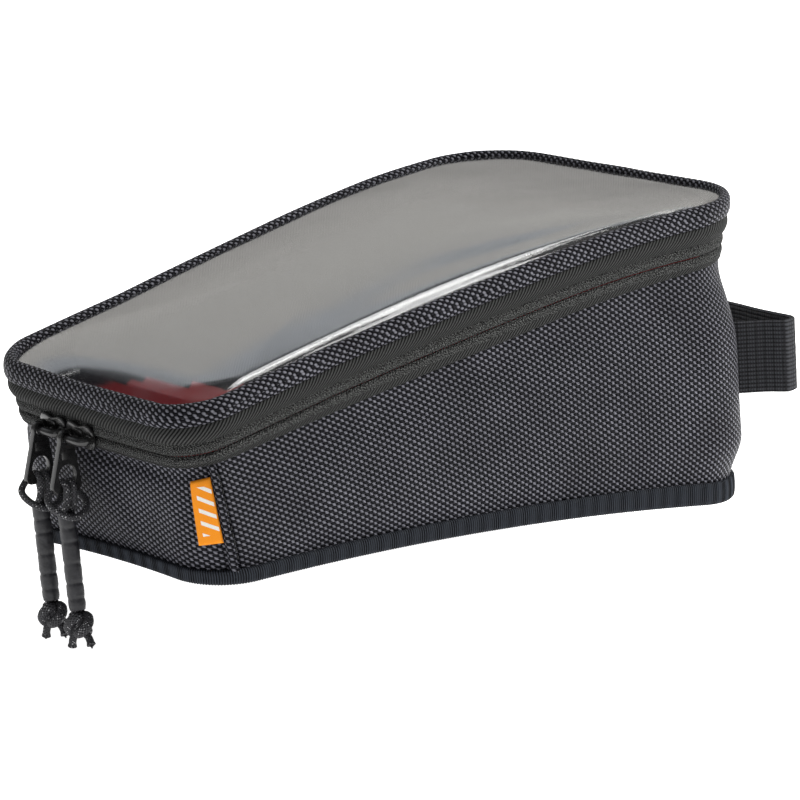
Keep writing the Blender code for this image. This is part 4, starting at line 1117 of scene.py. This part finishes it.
def pillow(name, point_at, size_i, size_j, thick, rows=12, cols=16):
    """A flat closed pad with rounded edges over a patch: point_at(share_i, share_j, out)."""
    grid = []
    for i in range(rows + 1):
        si = i / rows
        near_i = min(si, 1 - si) * size_i
        top, low = [], []
        for j in range(cols + 1):
            sj = j / cols
            near = min(near_i, min(sj, 1 - sj) * size_j)
            full = math.sqrt(max(0.0, 1 - (1 - min(1.0, near / (thick * 0.9))) ** 2))
            top.append(point_at(si, sj, thick * (0.25 + 0.75 * full)))
            low.append(point_at(si, sj, 0.0))
        grid.append(top + list(reversed(low)))
    return loft(name, grid, closed_j=True, caps=True, sharp=60, middle=cols // 2)


# The stops' depths stay clear of the slit, so that the lid can open past them.
for half, low, high in (("lower", ZIP_CENTRE + 2.2, TAPE_BOTTOM - 0.8),
                        ("upper", WELT_DEPTH + 1.0, ZIP_CENTRE - 2.2)):
    for word, first, last in (("near", REAR_START + 0.5, REAR_START + 2.6),
                              ("far", REAR_END - 2.6, REAR_END - 0.5)):
        def tab_point(si, sj, out, low=low, high=high, first=first, last=last):
            depth = high + (low - high) * sj
            return zip_point(first + (last - first) * si, -tape_bulge(depth) - out, depth)

        tab = pillow("zip_stop_%s_%s" % (half, word), tab_point, 10.0, high - low, 0.9)
        body = "bag" if half == "lower" else "lid"
        finish_piece(tab, "webbing", body, ["zip_end_%s_%s" % (half, word)])


# ---------------------------------------------------------------- lid

welt_turn = [2 * math.pi * k / 28 for k in range(28)]
welt_grid = []
for step in range(2 * RING):
    station = step / 2
    puff = 1.0 + 0.05 * noise.noise(Vector((station * 0.21, 2.2, 0.4)))
    row = []
    for angle in welt_turn:
        c, s = math.cos(angle), math.sin(angle)
        wide = 2.3 * puff * math.copysign(abs(c) ** 0.85, c)
        tall = 3.85 * puff * math.copysign(abs(s) ** 0.85, s)
        row.append(rim_point(station, 2.3 - wide, 3.75 - tall))
    welt_grid.append(row)
welt = loft("lid_welt_roll", welt_grid, closed_i=True, closed_j=True, sharp=80, middle=0)
finish_piece(welt, "welt", "lid", ["lid_welt"])

inside_profile = ((4.8, 4.8), (4.9, 6.5), (5.0, 8.5), (5.0, 10.2), (5.3, 10.4), (5.5, 10.1), (5.5, 7.0),
                  (5.3, 4.9))
inside_grid = [[rim_point(step, inset, depth) for inset, depth in inside_profile] for step in range(RING)]
inside_band = loft("lid_seam_binding", inside_grid, closed_i=True, closed_j=True, sharp=60, middle=2)
finish_piece(inside_band, "binding", "lid", ["lid_binding"])


def dome(name, outline, height_at, rings, thickness):
    """A thin sheet over an outline; height_at(x, y, share, distance from the edge) gives its top."""
    centre = sum(outline, Vector((0.0, 0.0))) / len(outline)
    size = len(outline)
    verts, faces, uvs = [], [], []
    for layer in (0, 1):
        for share in rings:
            for corner in outline:
                flat = centre.lerp(corner, share)
                z = height_at(flat.x, flat.y, share, (1 - share) * (corner - centre).length)
                verts.append(Vector((flat.x, flat.y, z - layer * thickness)))
    count = len(rings) * size
    for layer in (0, 1):
        first = layer * count
        faces.append([first + k for k in (range(size) if layer == 0 else reversed(range(size)))])
        for ring in range(len(rings) - 1):
            a, b = first + ring * size, first + (ring + 1) * size
            for j in range(size):
                quad = [a + j, b + j, b + (j + 1) % size, a + (j + 1) % size]
                faces.append(quad if layer == 0 else quad[::-1])
    a = (len(rings) - 1) * size
    faces += [[a + j, a + count + j, a + count + (j + 1) % size, a + (j + 1) % size] for j in range(size)]
    for face in faces:
        uvs += [(verts[i].x, verts[i].y) for i in face]
    return mesh_object(name, verts, faces, uvs, 60)


def vinyl_height(x, y, share, distance):
    """The clear sheet: crowned, turned up where it meets the welt, with a shallow wave beside that."""
    z = rim_height(x, y) - 1.6 + WINDOW_CROWN * (1 - share ** 2)
    near_side = smooth(0.0, 25.0, x) * smooth(-124.0, -95.0, y) * (1 - smooth(70.0, 112.0, y))
    z += near_side * (1.0 * (1 - smooth(0.0, 5.0, distance)) - 1.7 * bump_at(distance, 6.0, 3.2))
    z -= 0.4 * near_side * bump_at(distance, 24.0, 7.0) * bump_at(y, 10.0, 45.0)
    front = 1 - smooth(-128.0, -100.0, y)
    z -= (1.0 + 3.8 * smooth(-30.0, 15.0, x)) * front * (1 - smooth(0.0, 20.0, distance))
    z += 0.10 * ripple((x, y, 0.0), 60.0, 5.0) * smooth(0.0, 14.0, distance)
    return z


vinyl_edge = lid_outline(3.4)
vinyl_rings = [0.02, 0.12, 0.24, 0.36, 0.48, 0.58, 0.66, 0.72, 0.77, 0.81, 0.84, 0.865, 0.885, 0.905,
               0.92, 0.935, 0.948, 0.96, 0.97, 0.98, 0.99, 1.0]
vinyl = dome("window_vinyl", vinyl_edge, vinyl_height, vinyl_rings, WINDOW)
finish_piece(vinyl, "window", "lid", ["window"])

pocket_edge = lid_outline(LID_EDGE, POCKET_FRONT, LID_CORNER_FRONT)
mouth_y = LID_FRONT_Y + LID_EDGE + POCKET_FRONT


def pocket_height(x, y, share, distance):
    held = min(1.0, (1.0 - share) / 0.14)
    mouth = min(1.0, 1.0 - (y - mouth_y) / MOUTH_FADE)
    sag = POCKET_SAG * max(held, mouth)
    return rim_height(x, y) - 2.2 - sag + 0.5 * ripple((x, y, 0.0), 30.0, 8.0)


pocket_rings = [0.03, 0.2, 0.4, 0.55, 0.66, 0.74, 0.8, 0.84, 0.865, 0.89, 0.915, 0.94, 0.96, 0.98, 1.0]
pocket = dome("pocket_cloth", pocket_edge, pocket_height, pocket_rings, 0.8)
finish_piece(pocket, "pocket", "lid", ["pocket_sheet"])

# Some faces at the sheet's near front corner take the red of the lining that shows there, together with the
# lining material's painted glow.
pocket.data.materials.append(MATERIALS["lining"])
for face in pocket.data.polygons:
    spot = face.center / MM
    if spot.y < -101.0 + 0.10 * spot.x and spot.x > -10.0:
        face.material_index = 1


# ---------------------------------------------------------------- label

def label_point(si, sj, out):
    t = near_edge - 0.2 - 5.6 * (1 - si)
    curl = 0.9 * (1 - smooth(0.0, 0.5, si)) + 0.2 * math.sin(3.0 * sj + 1.0)
    return wall_shape(t, 0.0, 0.30 + 0.58 * sj + 0.015 * si, 0.35 + curl + out)


label = pillow("seam_label", label_point, 9.5, 22.0, 0.7, 20, 30)
finish_piece(label, "label", "bag", ["label_tab"])


# ---------------------------------------------------------------- webbing loop

LOOP_WIDTH, LOOP_THICK, LOOP_LEVEL, LOOP_EDGE = 27.0, 1.8, 37.0, 0.5


def build_loop():
    width, thick = LOOP_WIDTH, LOOP_THICK
    half = [(12.0, 0.0), (21.0, 0.0), (30.0, 0.0), (40.0, 2.2), (48.5, 8.8), (56.0, 17.3)]
    half += arc((58.5, 24.2), 4.2, -35.0, 95.0, 5)
    half += [(44.0, 28.6), (30.0, 30.0), (15.0, 30.9), (0.0, 31.2)]
    path = half + [(-x, y) for x, y in reversed(half[:-1])]
    line = smooth_path([(x, y, 0.0) for x, y in path], 5)
    centre = (REAR_START + REAR_END) / 2
    share = (LOOP_LEVEL + 8.0) / (rim_curve(115.0) - SHELL_TOP + 8.0)
    face = wall_point(centre, 0.0, 0.0).lerp(wall_point(centre, 0.0, 1.0), share)
    place = Vector((0, face.y + thick / 2 + GAP + 0.25, LOOP_LEVEL))
    turn = Matrix.Rotation(LOOP_LEAN, 3, "X")
    levels = [-width / 2 + LOOP_EDGE + (width - 2 * LOOP_EDGE) * k / 12 for k in range(13)]
    section = [(z, 1.0) for z in levels] + [(width / 2, 0.0)]
    section += [(-z, -1.0) for z in levels] + [(-width / 2, 0.0)]
    grid = []
    for k, point in enumerate(line):
        along = (line[min(k + 1, len(line) - 1)] - line[max(k - 1, 0)]).normalized()
        side = Vector((-along.y, along.x, 0.0))
        sag = 0.35 * ripple((point.x, point.y, 0.0), 18.0, 11.0)
        row = []
        for z, out in section:
            rib = 0.10 * math.sin(math.pi * z / 1.5) ** 2
            reach = out * (thick / 2 + rib - 0.1)
            row.append(place + turn @ (point + side * (reach + sag * (z / width) ** 2) + Vector((0, 0, z))))
        grid.append(row)
    loop = loft("webbing_strap", grid, closed_j=True, caps=True, sharp=50, middle=6)
    finish_piece(loop, "webbing", "bag", ["webbing_loop"])
    for word, x in (("near", 21.0), ("far", -21.0)):
        def tack_point(si, sj, out, x=x):
            return place + turn @ Vector((x - 8.0 + 16.0 * si, thick / 2 + 0.15 + out, -11.0 + 22.0 * sj))

        pad = pillow("tack_pad_" + word, tack_point, 16.0, 22.0, 0.45)
        finish_piece(pad, "webbing", "bag", ["bar_tack_" + word])
        rows = []
        for level in range(9):
            z = -10.0 + 20.0 * level / 8
            rows.append([place + turn @ Vector((x - 7.4 + 14.8 * s / 10, thick / 2 + 0.6, z))
                         for s in range(11)])
        corners = (((-7.4, -10.0), (7.4, 10.0)), ((-7.4, 10.0), (7.4, -10.0)))
        for (x0, z0), (x1, z1) in corners:
            rows.append([place + turn @ Vector((x + x0 + (x1 - x0) * s / 10, thick / 2 + 0.62,
                                                z0 + (z1 - z0) * s / 10)) for s in range(11)])
        out = turn @ Vector((0, 1, 0))
        parts = [stitches("row", row, [out] * 11, 2.0, 1.5, 0.24) for row in rows]
        finish_piece(join("tack_stitches_" + word, parts), "thread", "bag", ())


build_loop()


# ---------------------------------------------------------------- sliders and pullers

def bevelled(name, outline, axes, low, high, origin, width=0.4, segments=3):
    """A plate from an outline in two axes, with rounded edges."""
    first, second, along = (Vector(a) for a in axes)
    origin = Vector(origin)
    size = len(outline)
    verts = [origin + first * u + second * v + along * w for w in (low, high) for u, v in outline]
    faces = [list(reversed(range(size))), list(range(size, 2 * size))]
    faces += [[j, (j + 1) % size, size + (j + 1) % size, size + j] for j in range(size)]
    obj = mesh_object(name, verts, faces, [(0.0, 0.0)] * sum(len(f) for f in faces), 35)

    def bevel(shaped):
        edges = [e for e in shaped.edges if e.calc_face_angle(0.0) > math.radians(30)]
        bmesh.ops.bevel(shaped, geom=edges, offset=width * MM, segments=segments, profile=0.5,
                        affect="EDGES", clamp_overlap=True)

    reshape(obj, bevel)
    obj.data.shade_smooth()
    obj.data.set_sharp_from_angle(angle=math.radians(50))
    return obj


def rounded_box(half_wide, half_tall, radius, steps=4):
    points = []
    for cx, cy, start in ((half_wide, half_tall, 0), (-half_wide, half_tall, 90),
                          (-half_wide, -half_tall, 180), (half_wide, -half_tall, 270)):
        centre = (cx - math.copysign(radius, cx), cy - math.copysign(radius, cy))
        points += arc(centre, radius, start, start + 90, steps)
    return points


def build_slider(side):
    here, along, outward, up = slider_frame(SLIDER_X[side])
    axes = (along, up, outward)
    front, back = 0.4, -(TAPE + GAP + COIL + 0.4)
    waist = [(-7.0, -2.6), (-5.4, -4.5), (-3.2, -4.4), (0.0, -3.4), (3.2, -4.4), (5.4, -4.5), (7.0, -2.6),
             (7.0, 2.6), (5.4, 4.5), (3.2, 4.4), (0.0, 3.4), (-3.2, 4.4), (-5.4, 4.5), (-7.0, 2.6)]
    parts = [bevelled("plate", waist, axes, front, front + 1.7, here, 0.6),
             bevelled("back", waist, axes, back - 1.2, back, here, 0.4),
             bevelled("web", rounded_box(2.6, 0.42, 0.3), axes, back, front + 0.4, here, 0.1, 1),
             bevelled("crown", rounded_box(2.4, 2.9, 0.9), axes, front + 1.5, front + 2.5, here, 0.4)]
    bar = [(-6.0, 1.6), (-6.0, 3.0), (-5.8, 4.3), (-4.9, 5.2), (-3.0, 5.55), (0.0, 5.6)]
    bar += [(-x, out) for x, out in reversed(bar[:-1])]
    parts.append(tube("bail", smooth_path([here + along * x + outward * out for x, out in bar], 4), 1.5, 20))
    for sign in (-1, 1):
        parts.append(bevelled("foot", rounded_box(1.1, 1.7, 0.5), axes, front + 1.2, front + 2.6,
                              here + along * 5.9 * sign, 0.35))
    finish_piece(join("slider_body_" + side, parts), "black_metal", side + "_slider", ["slider_" + side])


PLATE_FLAT, PLATE_BEVEL = 0.62, 0.32


def build_puller(side):
    """A plate with an eye for the bail and a wide hole for the cord, and a badge on each face."""
    pivot = bail_point(side)
    bottom = -PULLER_LENGTH
    outline = arc((0, 0), 3.0, 200, -20, 14)
    outline += arc((6.2 - 2.5, bottom + 2.5), 2.5, 0, -90, 8)
    outline += arc((-6.2 + 2.5, bottom + 2.5), 2.5, -90, -180, 8)
    eye = arc((0, -0.1), 1.75, 360, 15, 23)
    hole = [(3.5 * c, -CORD_HOLE_DROP + 3.8 * s) for c, s in arc((0, 0), 1.0, 360, 12, 29)]
    curve = bpy.data.curves.new("plate", "CURVE")
    curve.dimensions = "2D"
    curve.fill_mode = "BOTH"
    curve.extrude = PLATE_FLAT * MM
    curve.bevel_depth = PLATE_BEVEL * MM
    curve.bevel_resolution = 3
    curve.offset = -PLATE_BEVEL * MM
    for ring in (outline, eye, hole):
        spline = curve.splines.new("POLY")
        spline.points.add(len(ring) - 1)
        spline.use_cyclic_u = True
        for knot, (u, v) in zip(spline.points, ring):
            knot.co = (u * MM, v * MM, 0.0, 1.0)
    holder = bpy.data.objects.new("plate", curve)
    bpy.context.scene.collection.objects.link(holder)
    bpy.context.view_layer.update()
    mesh = bpy.data.meshes.new_from_object(holder.evaluated_get(bpy.context.evaluated_depsgraph_get()))
    bpy.data.objects.remove(holder, do_unlink=True)
    mesh.transform(Matrix(((0, 0, 1, pivot.x * MM), (1, 0, 0, pivot.y * MM), (0, 1, 0, pivot.z * MM),
                           (0, 0, 0, 1))))
    if not mesh.uv_layers:
        mesh.uv_layers.new(name="UVMap")
    plate = bpy.data.objects.new("plate", mesh)
    bpy.context.scene.collection.objects.link(plate)
    parts = [plate]
    axes = ((0, 1, 0), (0, 0, 1), (1, 0, 0))
    for sign in (-1, 1):
        low, high = sorted((sign * 0.9, sign * 1.12))
        parts.append(bevelled("badge", rounded_box(2.3, 1.7, 0.6), axes, low, high,
                              pivot + Vector((0, 0, -5.6)), 0.09, 2))
    finish_piece(join("puller_plate_" + side, parts), "black_metal", side + "_puller", ["puller_" + side])


for part_side in ("right", "left"):
    build_slider(part_side)
    build_puller(part_side)


# ---------------------------------------------------------------- carried-over CAD nodes and their materials

for node, finish in CAD_FINISHES.items():
    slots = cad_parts[node].data.materials
    slots.clear()
    slots.append(MATERIALS[finish])

low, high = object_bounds()
